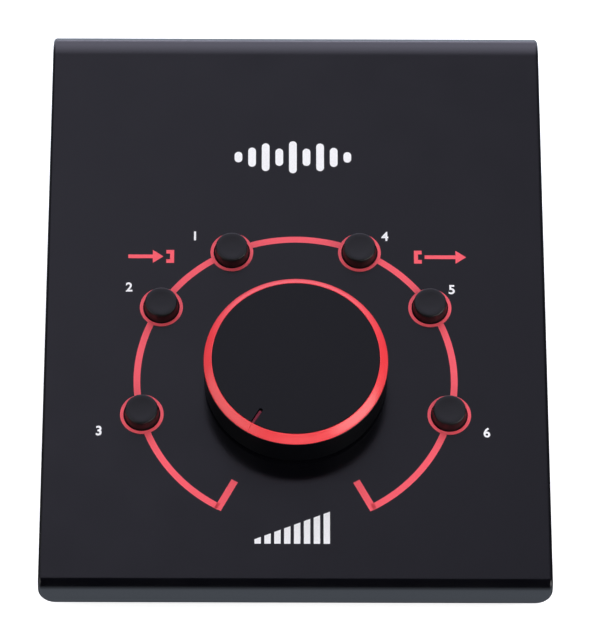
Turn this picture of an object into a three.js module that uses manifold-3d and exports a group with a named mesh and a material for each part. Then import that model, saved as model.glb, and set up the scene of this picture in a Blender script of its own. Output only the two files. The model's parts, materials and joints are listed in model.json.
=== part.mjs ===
// Desktop studio monitor controller: a wedge-shaped case folded from sheet steel, with one large
// volume dial, six push buttons on an arc round it, and a row of audio sockets in the rear wall.
// Millimetres, +Z up, front towards -Y. The origin is on the desk, under the middle of the object.

import * as THREE from 'three';
import { mergeVertices } from 'three/addons/utils/BufferGeometryUtils.js';
import Module from 'manifold-3d';

const wasm = await Module();
wasm.setup();

const degrees = THREE.MathUtils.degToRad;
const quarterTurn = Math.PI / 2;

// Clearances shared by the whole case
const seatGap = 0.3; // between a piece and what it sits on
const slideGap = 0.35; // round a piece that slides or turns
const overrun = 2; // how far a cutting tool runs past the surface it opens
const weldDistance = 1e-4; // vertices closer than this are one vertex

// Folded steel cover: front lip, sloping deck, large rear bend and rear wall in one sheet
const coverWidth = 140;
const coverWall = 1.5;
const deckSlope = degrees(20);
const deckLength = 164; // flat run of the deck between its two bends
const lipHeight = 5.55; // flat run of the front lip
const lipDrop = 0.85; // the lip and the rear wall reach this far below the tabs' seat
const lipCornerRadius = 4.7; // rounded lower corners of the lip and of the rear wall
const frontBendRadius = 3; // bend radii are those of the outer face
const rearBendRadius = 9.5;
const edgeBreak = 0.6; // eased side edges of the sheet

// Tabs welded inside the lip and the rear wall, each with a clinch nut for a closing screw
const tabWidth = 18;
const tabDepth = 11;
const tabHeight = 4.5;
const tabBendRadius = 1.8;
const weldDepth = 0.4; // how far a welded piece is fused into the sheet
const clinchNutRadius = 3.2;
const clinchNutHeight = 2.2;
const closingScrewInset = 6.8; // from the outer face of the lip or rear wall
const closingScrewFromSide = 28; // from the cover's side edge

// Tray: floor and two side cheeks folded from one sheet, standing inside the cover's edges
const trayWall = 1.2;
const trayInset = 1.6; // the cheeks stand this far in from the cover's side edges
const trayFoldRadius = 5;
const cheekGap = 0.4; // between the cheeks and the cover's inner faces
const cheekCornerRadius = 2;

// Rubber feet
const footHeight = 3.5;
const footTopRadius = 6.5;
const footTaper = 0.9; // the lower end is this much smaller in radius
const footEdgeRadius = 0.8;
const footInsetX = 17;
const footInsetY = 19;

// Pan-head screws: M3, the same for the tray and for the control board
const screwShankRadius = 1.5;
const screwHeadRadius = 2.8;
const screwHeadHeight = 1.9;
const screwDriveRadius = 0.9;
const screwDriveDepth = 1;
const trayScrewReach = 3.2; // shank above the tray's floor
const boardScrewReach = 5; // shank above the control board

// Volume dial
const dialFromFront = 59.8; // along the deck, from the end of the front bend to the dial's axis
const dialRadius = 25.4;
const dialUnderGap = 1.2;
const dialRingBase = 12; // height of the bevel's outer edge above the deck
const dialBevelHeight = 1.9; // from there up to the top face
const dialBevelWidth = 2.25;
const dialRingRim = 0.2; // upright rim under the bevel
const dialRingTongue = 1; // depth of the tongue that locates the ring in the dial's body
const dialRingTongueInset = 0.8; // from either edge of the ring
const dialSkirtBreak = 0.5;
const dialRecessSide = 1.3; // between the recess in the underside and the corners of the nut
const dialRecessClear = 0.8; // between the recess and the end of the bushing
const dialTopWall = 1.35; // left above the bore for the shaft
const pointerWidth = 1;
const pointerLength = 4.9; // inwards from the ring
const pointerSlotGap = 0.15;
const pointerRecess = 0.5; // the pointer lies this far below the dial's top face
const dialSweep = degrees(298);

// Potentiometer under the dial
const potWidth = 23;
const potLength = 21;
const bushingRadius = 4.5;
const bushingTop = 4.4; // height of the bushing's end above the deck
const potShaftRadius = 3;
const potShaftFlat = 2.4; // from the shaft's axis to its flat
const potShaftFlatLength = 5.3;
const potShaftRoot = 7; // depth of the shaft's lower end below the deck's outer face
const potNutWall = 1.2;
const potNutHeight = 2;

// Push buttons
const buttonArcRadius = 43.8; // all six stand on this radius round the dial
const buttonHoleRadius = 5.2;
const capHeight = 3.6; // above the deck at rest
const capDraft = 0.3; // the side leans in by this, from the deck up to the edge
const capEdgeRadius = 0.5;
const capDish = 0.15; // the top is slightly hollow
const capFlangeWidth = 0.9; // beyond the hole in the deck
const capFlangeHeight = 1;
const capSocketDepth = 4; // of the square socket, up from the flange
const buttonTravel = 2.5;
const plungerWidth = 3.2;
const plungerInSwitch = 3.2; // length of plunger inside the switch at rest
const switchWidth = 8.6;
const switchCollarWidth = 6.6;
const switchCollarHeight = 1.2;
const switchHeight = 10.2;
const switchClear = 1.2; // between the switch and the flange of a pressed cap

// Control board, parallel to the deck
const boardThickness = 1.6;
const boardBeyondSides = 10.5; // the board reaches this far past the middles of the outer buttons
const boardBeyondFront = 12.3;
const boardBeyondRear = 9;
const boardCornerRadius = 3;
const standoffRadius = 3;
const standoffInset = 4.5; // from the board's edges to a standoff's axis
const headerWidth = 26;
const headerDepth = 5.5;
const headerHeight = 4.8;
const ribbonWidth = 20;
const ribbonThickness = 1;
const ribbonLength = 62.4; // the more of it is slack, the further it bows out from each header
const controlHeaderFromDial = 38; // up the deck, from the dial's axis to the header

// Socket row in the rear wall
const socketHeight = 25; // of the row's axis above the desk
const socketBodyGap = 1.5; // between two neighbours
const socketBodyHeight = 15.4;
const socketBackWall = 2.5; // behind the bore
const socketBoreRadius = 3.3;
const socketBoreDepth = 29;
const noseRadius = 5.8;
const noseReach = 4.2; // beyond the rear wall
const noseRim = 0.6; // eased end of the nose
const socketNutWall = 1.1;
const socketNutHeight = 2.4;
const jackBoardSideGap = 2.2; // from the board's side edges to the cheeks
const jackBoardClear = 1; // from the board's rear edge to the rear wall
const jackHeaderClear = 2.7; // between the large sockets and the header in front of them

// Places across the rear wall, counted from the middle as shares of half the cover's width
const firstSocketShare = -0.45;
const lastSocketShare = 0.8;
const phonoShare = -0.6785;
const miniShare = -0.8557;

// Phono pair and mini jack at the end of the row
const phonoSpacing = 14;
const phonoBlockWidth = 11.5;
const phonoBlockDepth = 12.5;
const phonoBlockAbove = 5.6; // block above the upper axis
const phonoSleeveRadius = 4.15;
const phonoSleeveWall = 0.8;
const phonoReach = 9.5; // beyond the rear wall
const phonoPinRadius = 1.7;
const phonoPinDepth = 8;
const miniBodyWidth = 8.6;
const miniBodyHeight = 12;
const miniBackWall = 3.7; // behind the bore
const miniNoseRadius = 3;
const miniNoseReach = 3.4;
const miniBoreRadius = 1.8;
const miniBoreDepth = 14.5;
const miniNutWall = 0.9;
const miniNutHeight = 1.8;

// Smoothness of round forms, as counts of sides
const dialSides = 60;
const capSides = 24;
const holeSides = 20;
const footSides = 20;
const screwSides = 12;
const boreSides = 16;
const bendSteps = 4; // per right angle of a small bend
const rearBendSteps = 12;
const cornerSteps = 5;
const ribbonSteps = 14;

// Places worked out from the sizes above
const coverDepth = frontBendRadius * (1 - Math.sin(deckSlope)) + deckLength * Math.cos(deckSlope)
  + rearBendRadius * (1 + Math.sin(deckSlope));
const frontY = -(coverDepth + phonoReach) / 2;
const rearY = frontY + coverDepth;
const wallY = rearY - coverWall; // inner face of the rear wall
const tabSeat = footHeight + trayWall + seatGap; // underside of the tabs, over the tray's floor
const coverBottom = tabSeat - lipDrop;
const frontBendY = frontY + frontBendRadius;
const frontBendZ = coverBottom + lipHeight;
const deckStartY = frontY + frontBendRadius * (1 - Math.sin(deckSlope));
const deckStartZ = frontBendZ + frontBendRadius * Math.cos(deckSlope);
const dialY = deckStartY + dialFromFront * Math.cos(deckSlope);
const dialZ = deckStartZ + dialFromFront * Math.sin(deckSlope);
const rearBendY = rearY - rearBendRadius;
const rearBendZ = deckStartZ + deckLength * Math.sin(deckSlope) - rearBendRadius * Math.cos(deckSlope);
const trayHalfWidth = coverWidth / 2 - trayInset;
const closingScrewX = coverWidth / 2 - closingScrewFromSide;
const footBottomRadius = footTopRadius - footTaper;

// The dial, its shaft and the buttons, in the deck's frame
const dialTop = dialRingBase + dialBevelHeight;
const dialBodyTop = dialRingBase - dialRingRim - seatGap;
const dialRingInnerRadius = dialRadius - dialBevelWidth;
const pointerInnerRadius = dialRingInnerRadius - pointerLength;
const potShaftTop = dialBodyTop - dialTopWall - seatGap;
const potNutFlats = 2 * (bushingRadius + seatGap + potNutWall);
const dialRecessRadius = potNutFlats / Math.sqrt(3) + dialRecessSide;
const behindWall = -coverWall - seatGap; // what sits inside the deck or the rear wall starts here
const capFlangeBottom = behindWall - capFlangeHeight;
const capFlangeRadius = buttonHoleRadius + capFlangeWidth;
const switchTop = capFlangeBottom - buttonTravel - switchClear;
const boardTop = switchTop - switchHeight - seatGap;
const boardBottom = boardTop - boardThickness;

// The rear wall's row, and the board that carries it
const phonoX = phonoShare * coverWidth / 2;
const miniX = miniShare * coverWidth / 2;
const socketBodyDepth = socketBoreDepth - noseReach + behindWall + socketBackWall;
const socketNutFlats = 2 * (noseRadius + seatGap + socketNutWall);
const miniBodyDepth = miniBoreDepth - miniNoseReach + behindWall + miniBackWall;
const miniNutRadius = miniNoseRadius + seatGap + miniNutWall;
const jackBoardHalfWidth = trayHalfWidth - trayWall - jackBoardSideGap;
const jackBoardTop = socketHeight - socketBodyHeight / 2 - seatGap;
const jackBoardFront = wallY - seatGap - socketBodyDepth - jackHeaderClear - headerDepth;

// Where the deck's frame stands: its origin is on the deck's outer face, under the dial
const deckFrame = new THREE.Matrix4().makeRotationX(deckSlope).setPosition(0, dialY, dialZ);

// One button for each function, by its angle round the dial from the top, clockwise
const upperAngle = degrees(24.2);
const middleAngle = degrees(59);
const lowerAngle = degrees(104.1);
const buttons = [
  { name: 'channel_swap', angle: -upperAngle },
  { name: 'input_select', angle: -middleAngle },
  { name: 'mute', angle: -lowerAngle },
  { name: 'output_a', angle: upperAngle },
  { name: 'output_b', angle: middleAngle },
  { name: 'mono', angle: lowerAngle },
];
const sockets = ['input_a_left', 'input_a_right', 'output_a_left', 'output_a_right', 'output_b_left',
  'output_b_right'];

// The control board reaches a little past the outer buttons on every side
const controlBoardHalfWidth = buttonArcRadius * Math.sin(lowerAngle) + boardBeyondSides;
const controlBoardFront = -buttonArcRadius * Math.cos(lowerAngle) + boardBeyondFront;
const controlBoardRear = buttonArcRadius * Math.cos(upperAngle) + boardBeyondRear;

const rowStart = firstSocketShare * coverWidth / 2;
const rowEnd = lastSocketShare * coverWidth / 2;
const socketPitch = (rowEnd - rowStart) / (sockets.length - 1);
const socketBodyWidth = socketPitch - socketBodyGap;

// Finishes
const blackPaint = new THREE.MeshStandardMaterial({ color: 0x2b2b30, roughness: 0.55, metalness: 0.1 });
const trayPaint = new THREE.MeshStandardMaterial({ color: 0x232327, roughness: 0.65, metalness: 0.1 });
const dialBlack = new THREE.MeshStandardMaterial({ color: 0x202226, roughness: 0.6, metalness: 0.1 });
const dialRed = new THREE.MeshStandardMaterial({ color: 0xf0444a, roughness: 0.4, metalness: 0.2 });
const capBlack = new THREE.MeshStandardMaterial({ color: 0x1c1d20, roughness: 0.5, metalness: 0 });
const rubber = new THREE.MeshStandardMaterial({ color: 0x161617, roughness: 0.9, metalness: 0 });
const zinc = new THREE.MeshStandardMaterial({ color: 0xa9abad, roughness: 0.35, metalness: 1 });
const nickel = new THREE.MeshStandardMaterial({ color: 0xc2bfb8, roughness: 0.25, metalness: 1 });
const blackScrew = new THREE.MeshStandardMaterial({ color: 0x28282a, roughness: 0.45, metalness: 0.8 });
const boardGreen = new THREE.MeshStandardMaterial({ color: 0x1f5a38, roughness: 0.5, metalness: 0 });
const socketBlack = new THREE.MeshStandardMaterial({ color: 0x17181a, roughness: 0.55, metalness: 0 });
const plungerWhite = new THREE.MeshStandardMaterial({ color: 0xd9d7cf, roughness: 0.5, metalness: 0 });
const ribbonGrey = new THREE.MeshStandardMaterial({ color: 0x8f9296, roughness: 0.6, metalness: 0 });

// A closed geometry as a solid that can be cut and joined
function solidOf(geometry) {
  const bare = geometry.index ? geometry.toNonIndexed() : geometry.clone();
  for (const attribute of Object.keys(bare.attributes)) {
    if (attribute !== 'position') bare.deleteAttribute(attribute);
  }
  const merged = mergeVertices(bare, weldDistance);
  return new wasm.Manifold(new wasm.Mesh({
    numProp: 3,
    vertProperties: merged.attributes.position.array,
    triVerts: new Uint32Array(merged.index.array),
  }));
}

// The solid's triangles as a flat-shaded geometry
function geometryOf(solid) {
  const made = solid.getMesh();
  const geometry = new THREE.BufferGeometry();
  geometry.setAttribute('position', new THREE.BufferAttribute(made.vertProperties, 3));
  geometry.setIndex(new THREE.BufferAttribute(made.triVerts, 1));
  const flat = geometry.toNonIndexed();
  flat.computeVertexNormals();
  return flat;
}

function cut(geometry, ...tools) {
  return geometryOf(tools.reduce((solid, tool) => solid.subtract(solidOf(tool)), solidOf(geometry)));
}

function join(geometry, ...others) {
  return geometryOf(others.reduce((solid, other) => solid.add(solidOf(other)), solidOf(geometry)));
}

function common(geometry, other) {
  return geometryOf(solidOf(geometry).intersect(solidOf(other)));
}

// Boxes, cylinders and turned forms stand on their base height, along +Z
function block(width, length, bottom, top) {
  return new THREE.BoxGeometry(width, length, top - bottom).translate(0, 0, (top + bottom) / 2);
}

function rod(radius, bottom, top, sides) {
  return new THREE.CylinderGeometry(radius, radius, top - bottom, sides)
    .rotateX(quarterTurn)
    .translate(0, 0, (top + bottom) / 2);
}

// A profile of [radius, height] pairs, given upwards along its outside, turned about +Z
function turned(profile, sides) {
  return new THREE.LatheGeometry(profile.map(([radius, height]) => new THREE.Vector2(radius, height)), sides)
    .rotateX(quarterTurn);
}

// A hexagonal prism by its width across flats
function hexagon(flats, bottom, top) {
  return rod(flats / Math.sqrt(3), bottom, top, 6);
}

// Points on a circle's arc, from one angle to another
function arcPoints(centreX, centreY, radius, from, to, steps) {
  return Array.from({ length: steps + 1 }, (_, i) => {
    const angle = from + (to - from) * i / steps;
    return new THREE.Vector2(centreX + radius * Math.cos(angle), centreY + radius * Math.sin(angle));
  });
}

// The section of a sheet that is folded to the right, leg by leg: its outer face is the path that
// starts at a point with a heading, and its inner face lies one wall to the right of that path
function foldedSection(start, heading, wall, legs) {
  const outer = [start.clone()];
  const inner = [];
  const place = start.clone();
  let angle = heading;
  const right = () => new THREE.Vector2(Math.sin(angle), -Math.cos(angle));
  inner.push(place.clone().addScaledVector(right(), wall));
  for (const leg of legs) {
    if (leg.flat) {
      place.add(new THREE.Vector2(Math.cos(angle), Math.sin(angle)).multiplyScalar(leg.flat));
      outer.push(place.clone());
      inner.push(place.clone().addScaledVector(right(), wall));
      continue;
    }
    const centre = place.clone().addScaledVector(right(), leg.radius);
    const from = angle + quarterTurn;
    const to = from - leg.bend;
    outer.push(...arcPoints(centre.x, centre.y, leg.radius, from, to, leg.steps).slice(1));
    inner.push(...arcPoints(centre.x, centre.y, leg.radius - wall, from, to, leg.steps).slice(1));
    angle -= leg.bend;
    place.copy(outer[outer.length - 1]);
  }
  return new THREE.Shape([...outer, ...inner.reverse()]);
}

// A section in the side view, given as (y, z), extruded across the object and centred on x = 0
function acrossX(shape, width, edge = 0) {
  const geometry = new THREE.ExtrudeGeometry(shape, {
    depth: width - 2 * edge,
    bevelEnabled: edge > 0,
    bevelThickness: edge,
    bevelSize: edge,
    bevelOffset: -edge,
    bevelSegments: 2,
  });
  geometry.translate(0, 0, edge - width / 2);
  return geometry.applyMatrix4(new THREE.Matrix4().makeBasis(
    new THREE.Vector3(0, 1, 0), new THREE.Vector3(0, 0, 1), new THREE.Vector3(1, 0, 0)));
}

// A section in the front view, given as (x, z), extruded from one y to another
function alongY(shape, fromY, toY) {
  return new THREE.ExtrudeGeometry(shape, { depth: toY - fromY, bevelEnabled: false })
    .applyMatrix4(new THREE.Matrix4().makeBasis(
      new THREE.Vector3(1, 0, 0), new THREE.Vector3(0, 0, 1), new THREE.Vector3(0, -1, 0)))
    .translate(0, toY, 0);
}

// A rectangle with rounded corners, for boards
function roundedRectangle(left, right, bottom, top, radius) {
  return new THREE.Shape([
    ...arcPoints(right - radius, bottom + radius, radius, -quarterTurn, 0, cornerSteps),
    ...arcPoints(right - radius, top - radius, radius, 0, quarterTurn, cornerSteps),
    ...arcPoints(left + radius, top - radius, radius, quarterTurn, 2 * quarterTurn, cornerSteps),
    ...arcPoints(left + radius, bottom + radius, radius, 2 * quarterTurn, 3 * quarterTurn, cornerSteps),
  ]);
}

// A form made along +Z turned to lie along +Y, its base at the given place
function towardsRear(geometry, x, y, z) {
  return geometry.rotateX(-quarterTurn).translate(x, y, z);
}

const group = new THREE.Group();
const deck = new THREE.Group();
deck.position.set(0, dialY, dialZ);
deck.rotation.x = deckSlope;
group.add(deck);

function add(parent, name, geometry, material, x = 0, y = 0, z = 0) {
  const mesh = new THREE.Mesh(geometry, material);
  mesh.name = name;
  mesh.position.set(x, y, z);
  parent.add(mesh);
  return mesh;
}

function buttonPlace(angle) {
  return { x: buttonArcRadius * Math.sin(angle), y: buttonArcRadius * Math.cos(angle) };
}

const standoffPlaces = [-1, 1].flatMap((side) => [
  { name: side < 0 ? 'front_left' : 'front_right', x: side * (controlBoardHalfWidth - standoffInset),
    y: standoffInset - controlBoardFront },
  { name: side < 0 ? 'rear_left' : 'rear_right', x: side * (controlBoardHalfWidth - standoffInset),
    y: controlBoardRear - standoffInset },
]);

const closingScrewPlaces = [-1, 1].flatMap((side) => [
  { name: side < 0 ? 'front_left' : 'front_right', x: side * closingScrewX, y: frontY + closingScrewInset },
  { name: side < 0 ? 'rear_left' : 'rear_right', x: side * closingScrewX, y: rearY - closingScrewInset },
]);

const socketPlaces = sockets.map((name, i) => ({ name, x: rowStart + i * socketPitch }));

// An angle tab, fused into the inner face of the lip
function makeTab() {
  const section = foldedSection(
    new THREE.Vector2(frontY + coverWall - weldDepth + tabDepth, tabSeat), Math.PI, coverWall,
    [
      { flat: tabDepth - tabBendRadius },
      { bend: quarterTurn, radius: tabBendRadius, steps: bendSteps },
      { flat: tabHeight - tabBendRadius },
    ]);
  return acrossX(section, tabWidth);
}

// The cover: one folded sheet with its lower corners rounded, tabs and clinch nuts for the closing
// screws, clinch standoffs for the board, and its holes
function makeCover() {
  const section = foldedSection(
    new THREE.Vector2(frontY, coverBottom), quarterTurn, coverWall,
    [
      { flat: lipHeight },
      { bend: quarterTurn - deckSlope, radius: frontBendRadius, steps: bendSteps },
      { flat: deckLength },
      { bend: quarterTurn + deckSlope, radius: rearBendRadius, steps: rearBendSteps },
      { flat: rearBendZ - coverBottom },
    ]);
  const halfWidth = coverWidth / 2;
  const outline = new THREE.Shape([
    ...arcPoints(lipCornerRadius - halfWidth, coverBottom + lipCornerRadius, lipCornerRadius,
      2 * quarterTurn, 3 * quarterTurn, cornerSteps),
    ...arcPoints(halfWidth - lipCornerRadius, coverBottom + lipCornerRadius, lipCornerRadius,
      3 * quarterTurn, 4 * quarterTurn, cornerSteps),
    new THREE.Vector2(halfWidth, rearBendZ + rearBendRadius + overrun),
    new THREE.Vector2(-halfWidth, rearBendZ + rearBendRadius + overrun),
  ]);
  const sheet = common(acrossX(section, coverWidth, edgeBreak),
    alongY(outline, frontY - overrun, rearY + overrun));

  const middleY = frontY + coverDepth / 2;
  const tabs = [-1, 1].flatMap((side) => {
    const front = makeTab().translate(side * closingScrewX, -middleY, 0);
    return [front.clone().translate(0, middleY, 0), front.rotateZ(Math.PI).translate(0, middleY, 0)];
  });
  const clinched = closingScrewPlaces.map(({ x, y }) => rod(clinchNutRadius, tabSeat + coverWall / 2,
    tabSeat + coverWall + clinchNutHeight, screwSides).translate(x, y, 0));
  const standoffs = standoffPlaces.map(({ x, y }) => rod(standoffRadius, boardTop + seatGap,
    -coverWall / 2, screwSides).translate(x, y, 0).applyMatrix4(deckFrame));

  const nutHoles = closingScrewPlaces.map(({ x, y }) => rod(screwShankRadius + seatGap,
    tabSeat - overrun, tabSeat + coverWall + clinchNutHeight + overrun, screwSides)
    .translate(x, y, 0));
  const standoffHoles = standoffPlaces.map(({ x, y }) => rod(screwShankRadius + seatGap,
    boardTop + seatGap - overrun, boardTop + boardScrewReach + 2 * seatGap, screwSides)
    .translate(x, y, 0).applyMatrix4(deckFrame));
  const buttonHoles = buttons.map(({ angle }) => {
    const { x, y } = buttonPlace(angle);
    return rod(buttonHoleRadius, -coverWall - overrun, overrun, holeSides).translate(x, y, 0)
      .applyMatrix4(deckFrame);
  });
  const potHole = rod(bushingRadius + seatGap, -coverWall - overrun, overrun, holeSides)
    .applyMatrix4(deckFrame);
  const rearHole = (radius, x, z, sides) => towardsRear(
    rod(radius, -coverWall - overrun, overrun, sides), x, rearY, z);
  const rearHoles = [
    ...socketPlaces.map(({ x }) => rearHole(noseRadius + seatGap, x, socketHeight, holeSides)),
    rearHole(phonoSleeveRadius + slideGap, phonoX, socketHeight, holeSides),
    rearHole(phonoSleeveRadius + slideGap, phonoX, socketHeight + phonoSpacing, holeSides),
    rearHole(miniNoseRadius + seatGap, miniX, socketHeight, holeSides),
  ];
  return cut(join(sheet, ...tabs, ...clinched, ...standoffs), ...nutHoles, ...standoffHoles,
    ...buttonHoles, potHole, ...rearHoles);
}

// The tray: a channel folded up at both sides, trimmed to the cover's inner outline
function makeTray() {
  const cheekTop = rearBendZ + rearBendRadius;
  const channel = foldedSection(
    new THREE.Vector2(trayHalfWidth, cheekTop), -quarterTurn, trayWall,
    [
      { flat: cheekTop - footHeight - trayFoldRadius },
      { bend: quarterTurn, radius: trayFoldRadius, steps: cornerSteps },
      { flat: 2 * (trayHalfWidth - trayFoldRadius) },
      { bend: quarterTurn, radius: trayFoldRadius, steps: cornerSteps },
      { flat: cheekTop - footHeight - trayFoldRadius },
    ]);
  const inset = coverWall + cheekGap;
  const outline = new THREE.Shape([
    ...arcPoints(frontY + inset + cheekCornerRadius, footHeight + cheekCornerRadius, cheekCornerRadius,
      3 * quarterTurn, 2 * quarterTurn, bendSteps),
    ...arcPoints(frontBendY, frontBendZ, frontBendRadius - inset, 2 * quarterTurn,
      quarterTurn + deckSlope, bendSteps),
    ...arcPoints(rearBendY, rearBendZ, rearBendRadius - inset, quarterTurn + deckSlope, 0, rearBendSteps),
    ...arcPoints(rearY - inset - cheekCornerRadius, footHeight + cheekCornerRadius, cheekCornerRadius,
      0, -quarterTurn, bendSteps),
  ]);
  const holes = closingScrewPlaces.map(({ x, y }) => rod(screwShankRadius + seatGap,
    footHeight - overrun, footHeight + trayWall + overrun, screwSides).translate(x, y, 0));
  return cut(common(alongY(channel, frontY, rearY), acrossX(outline, coverWidth)), ...holes);
}

// A rubber foot, tapered and eased at its lower edge
function makeFoot() {
  const eased = arcPoints(footBottomRadius - footEdgeRadius, footEdgeRadius, footEdgeRadius,
    -quarterTurn, 0, bendSteps).map(({ x, y }) => [x, y]);
  return turned([[0, 0], ...eased, [footTopRadius, footHeight], [0, footHeight]], footSides);
}

// A pan-head screw that points up, its head's seat at height zero
function makeScrew(reach) {
  const domed = screwHeadHeight / 2;
  const body = turned([
    [0, -screwHeadHeight], [screwHeadRadius - domed, -screwHeadHeight], [screwHeadRadius, -domed],
    [screwHeadRadius, 0], [screwShankRadius, 0], [screwShankRadius, reach], [0, reach],
  ], screwSides);
  const drive = rod(screwDriveRadius, -screwHeadHeight - overrun, screwDriveDepth - screwHeadHeight, 6);
  return cut(body, drive);
}

// The dial's body: a turned disc with a recess over the bushing, a bore that grips the shaft, and a
// groove for the ring's tongue
function makeDialBody() {
  const recessTop = bushingTop + dialRecessClear;
  const grooveInner = dialRingInnerRadius + dialRingTongueInset - seatGap;
  const grooveOuter = dialRadius - dialRingTongueInset + seatGap;
  const disc = turned([
    [0, recessTop], [dialRecessRadius, recessTop], [dialRecessRadius, dialUnderGap],
    [dialRadius - dialSkirtBreak, dialUnderGap], [dialRadius, dialUnderGap + dialSkirtBreak],
    [dialRadius, dialBodyTop],
    [grooveOuter, dialBodyTop], [grooveOuter, dialBodyTop - dialRingTongue],
    [grooveInner, dialBodyTop - dialRingTongue], [grooveInner, dialBodyTop],
    [0, dialBodyTop],
  ], dialSides);
  return cut(disc, makeShaft(seatGap, potShaftTop + seatGap, recessTop - overrun));
}

// The red bevelled ring, with the pointer as a tongue of the same moulding
function makeDialRing() {
  const base = dialRingBase - dialRingRim;
  const tongueInner = dialRingInnerRadius + dialRingTongueInset;
  const tongueOuter = dialRadius - dialRingTongueInset;
  const ring = turned([
    [dialRingInnerRadius, base], [tongueInner, base],
    [tongueInner, base - dialRingTongue], [tongueOuter, base - dialRingTongue],
    [tongueOuter, base], [dialRadius, base], [dialRadius, dialRingBase],
    [dialRingInnerRadius, dialTop], [dialRingInnerRadius, base],
  ], dialSides);
  const rootRadius = (dialRingInnerRadius + dialRadius) / 2;
  const pointer = block(pointerWidth, rootRadius - pointerInnerRadius, base, dialTop - pointerRecess)
    .translate(0, (rootRadius + pointerInnerRadius) / 2, 0);
  return join(ring, pointer).rotateZ(dialSweep / 2);
}

// The dial's top plate, slotted for the pointer
function makeDialCap() {
  const radius = dialRingInnerRadius - pointerSlotGap;
  const plate = rod(radius, dialBodyTop + seatGap, dialTop, dialSides);
  const slotInner = pointerInnerRadius - pointerSlotGap;
  const slotOuter = radius + overrun;
  const slot = block(pointerWidth + 2 * pointerSlotGap, slotOuter - slotInner, dialBodyTop - overrun,
    dialTop + overrun).translate(0, (slotOuter + slotInner) / 2, 0);
  return cut(plate, slot).rotateZ(dialSweep / 2);
}

// The shaft's form, grown by a clearance where it serves as the tool for the hub's bore
function makeShaft(clearance, top, bottom) {
  const radius = potShaftRadius + clearance;
  const round = rod(radius, bottom, top, holeSides);
  const flat = block(2 * radius + overrun, radius, potShaftTop + clearance - potShaftFlatLength,
    potShaftTop + clearance + overrun).translate(0, potShaftFlat + clearance + radius / 2, 0);
  return cut(round, flat);
}

// The potentiometer's case with its threaded bushing, bored for the shaft
function makePotCase() {
  return cut(join(block(potWidth, potLength, boardTop + seatGap, behindWall),
    rod(bushingRadius, behindWall - overrun, bushingTop, holeSides)),
  rod(potShaftRadius + seatGap, -potShaftRoot - seatGap, bushingTop + overrun, holeSides));
}

// A flat ring or a nut round a round piece
function makeNut(flats, bore, bottom, top) {
  return cut(hexagon(flats, bottom, top), rod(bore, bottom - overrun, top + overrun, holeSides));
}

// A button cap: drafted side, dished top, a flange that stops it under the deck, a square socket
function makeCap() {
  const radius = buttonHoleRadius - slideGap;
  const eased = arcPoints(radius - capDraft - capEdgeRadius, capHeight - capEdgeRadius, capEdgeRadius,
    0, quarterTurn, bendSteps).map(({ x, y }) => [x, y]);
  const body = turned([
    [0, capFlangeBottom], [capFlangeRadius, capFlangeBottom], [capFlangeRadius, behindWall],
    [radius, behindWall], [radius, 0], ...eased, [0, capHeight - capDish],
  ], capSides);
  const hollow = plungerWidth + 2 * seatGap;
  return cut(body, block(hollow, hollow, capFlangeBottom - overrun, capFlangeBottom + capSocketDepth));
}

function makePlunger() {
  return block(plungerWidth, plungerWidth, switchTop - plungerInSwitch,
    capFlangeBottom + capSocketDepth - seatGap);
}

// A latching push switch: case and collar, with the square well that guides the plunger
function makeSwitch() {
  const collarBottom = switchTop - switchCollarHeight;
  const well = plungerWidth + 2 * seatGap;
  return cut(join(block(switchWidth, switchWidth, boardTop + seatGap, collarBottom),
    block(switchCollarWidth, switchCollarWidth, collarBottom - overrun, switchTop)),
  block(well, well, switchTop - plungerInSwitch - buttonTravel - seatGap, overrun));
}

function makeControlBoard() {
  const shape = roundedRectangle(-controlBoardHalfWidth, controlBoardHalfWidth, -controlBoardFront,
    controlBoardRear, boardCornerRadius);
  const board = new THREE.ExtrudeGeometry(shape, { depth: boardThickness, bevelEnabled: false })
    .translate(0, 0, boardBottom);
  return cut(board, ...standoffPlaces.map(({ x, y }) => rod(screwShankRadius + seatGap,
    boardBottom - overrun, boardTop + overrun, screwSides).translate(x, y, 0)));
}

function makeJackBoard() {
  const shape = roundedRectangle(-jackBoardHalfWidth, jackBoardHalfWidth, jackBoardFront,
    wallY - jackBoardClear, boardCornerRadius);
  return new THREE.ExtrudeGeometry(shape, { depth: boardThickness, bevelEnabled: false })
    .translate(0, 0, jackBoardTop - boardThickness);
}

// A large socket, made along +Z with the outer face of the wall at height zero: case, threaded nose
// with an eased end, and a blind bore
function makeSocket() {
  const body = block(socketBodyWidth, socketBodyHeight, behindWall - socketBodyDepth, behindWall);
  const nose = turned([
    [0, behindWall - overrun], [noseRadius, behindWall - overrun], [noseRadius, noseReach - noseRim],
    [noseRadius - noseRim, noseReach], [0, noseReach],
  ], holeSides);
  return cut(join(body, nose), rod(socketBoreRadius, noseReach - socketBoreDepth,
    noseReach + overrun, boreSides));
}

// The phono pair's moulding: one block with two insulating cores, each with a hole for the plug's pin
function makePhonoBlock() {
  const below = socketHeight - jackBoardTop - seatGap;
  const height = below + phonoSpacing + phonoBlockAbove;
  const coreRadius = phonoSleeveRadius - phonoSleeveWall - seatGap;
  const body = new THREE.BoxGeometry(phonoBlockWidth, height, phonoBlockDepth)
    .translate(0, below - height / 2, behindWall - phonoBlockDepth / 2);
  const cores = [0, -phonoSpacing].map((y) => rod(coreRadius, behindWall - overrun,
    phonoReach - phonoSleeveWall, boreSides).translate(0, y, 0));
  const holes = [0, -phonoSpacing].map((y) => rod(phonoPinRadius, phonoReach - phonoPinDepth,
    phonoReach + overrun, boreSides).translate(0, y, 0));
  return cut(join(body, ...cores), ...holes);
}

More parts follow.
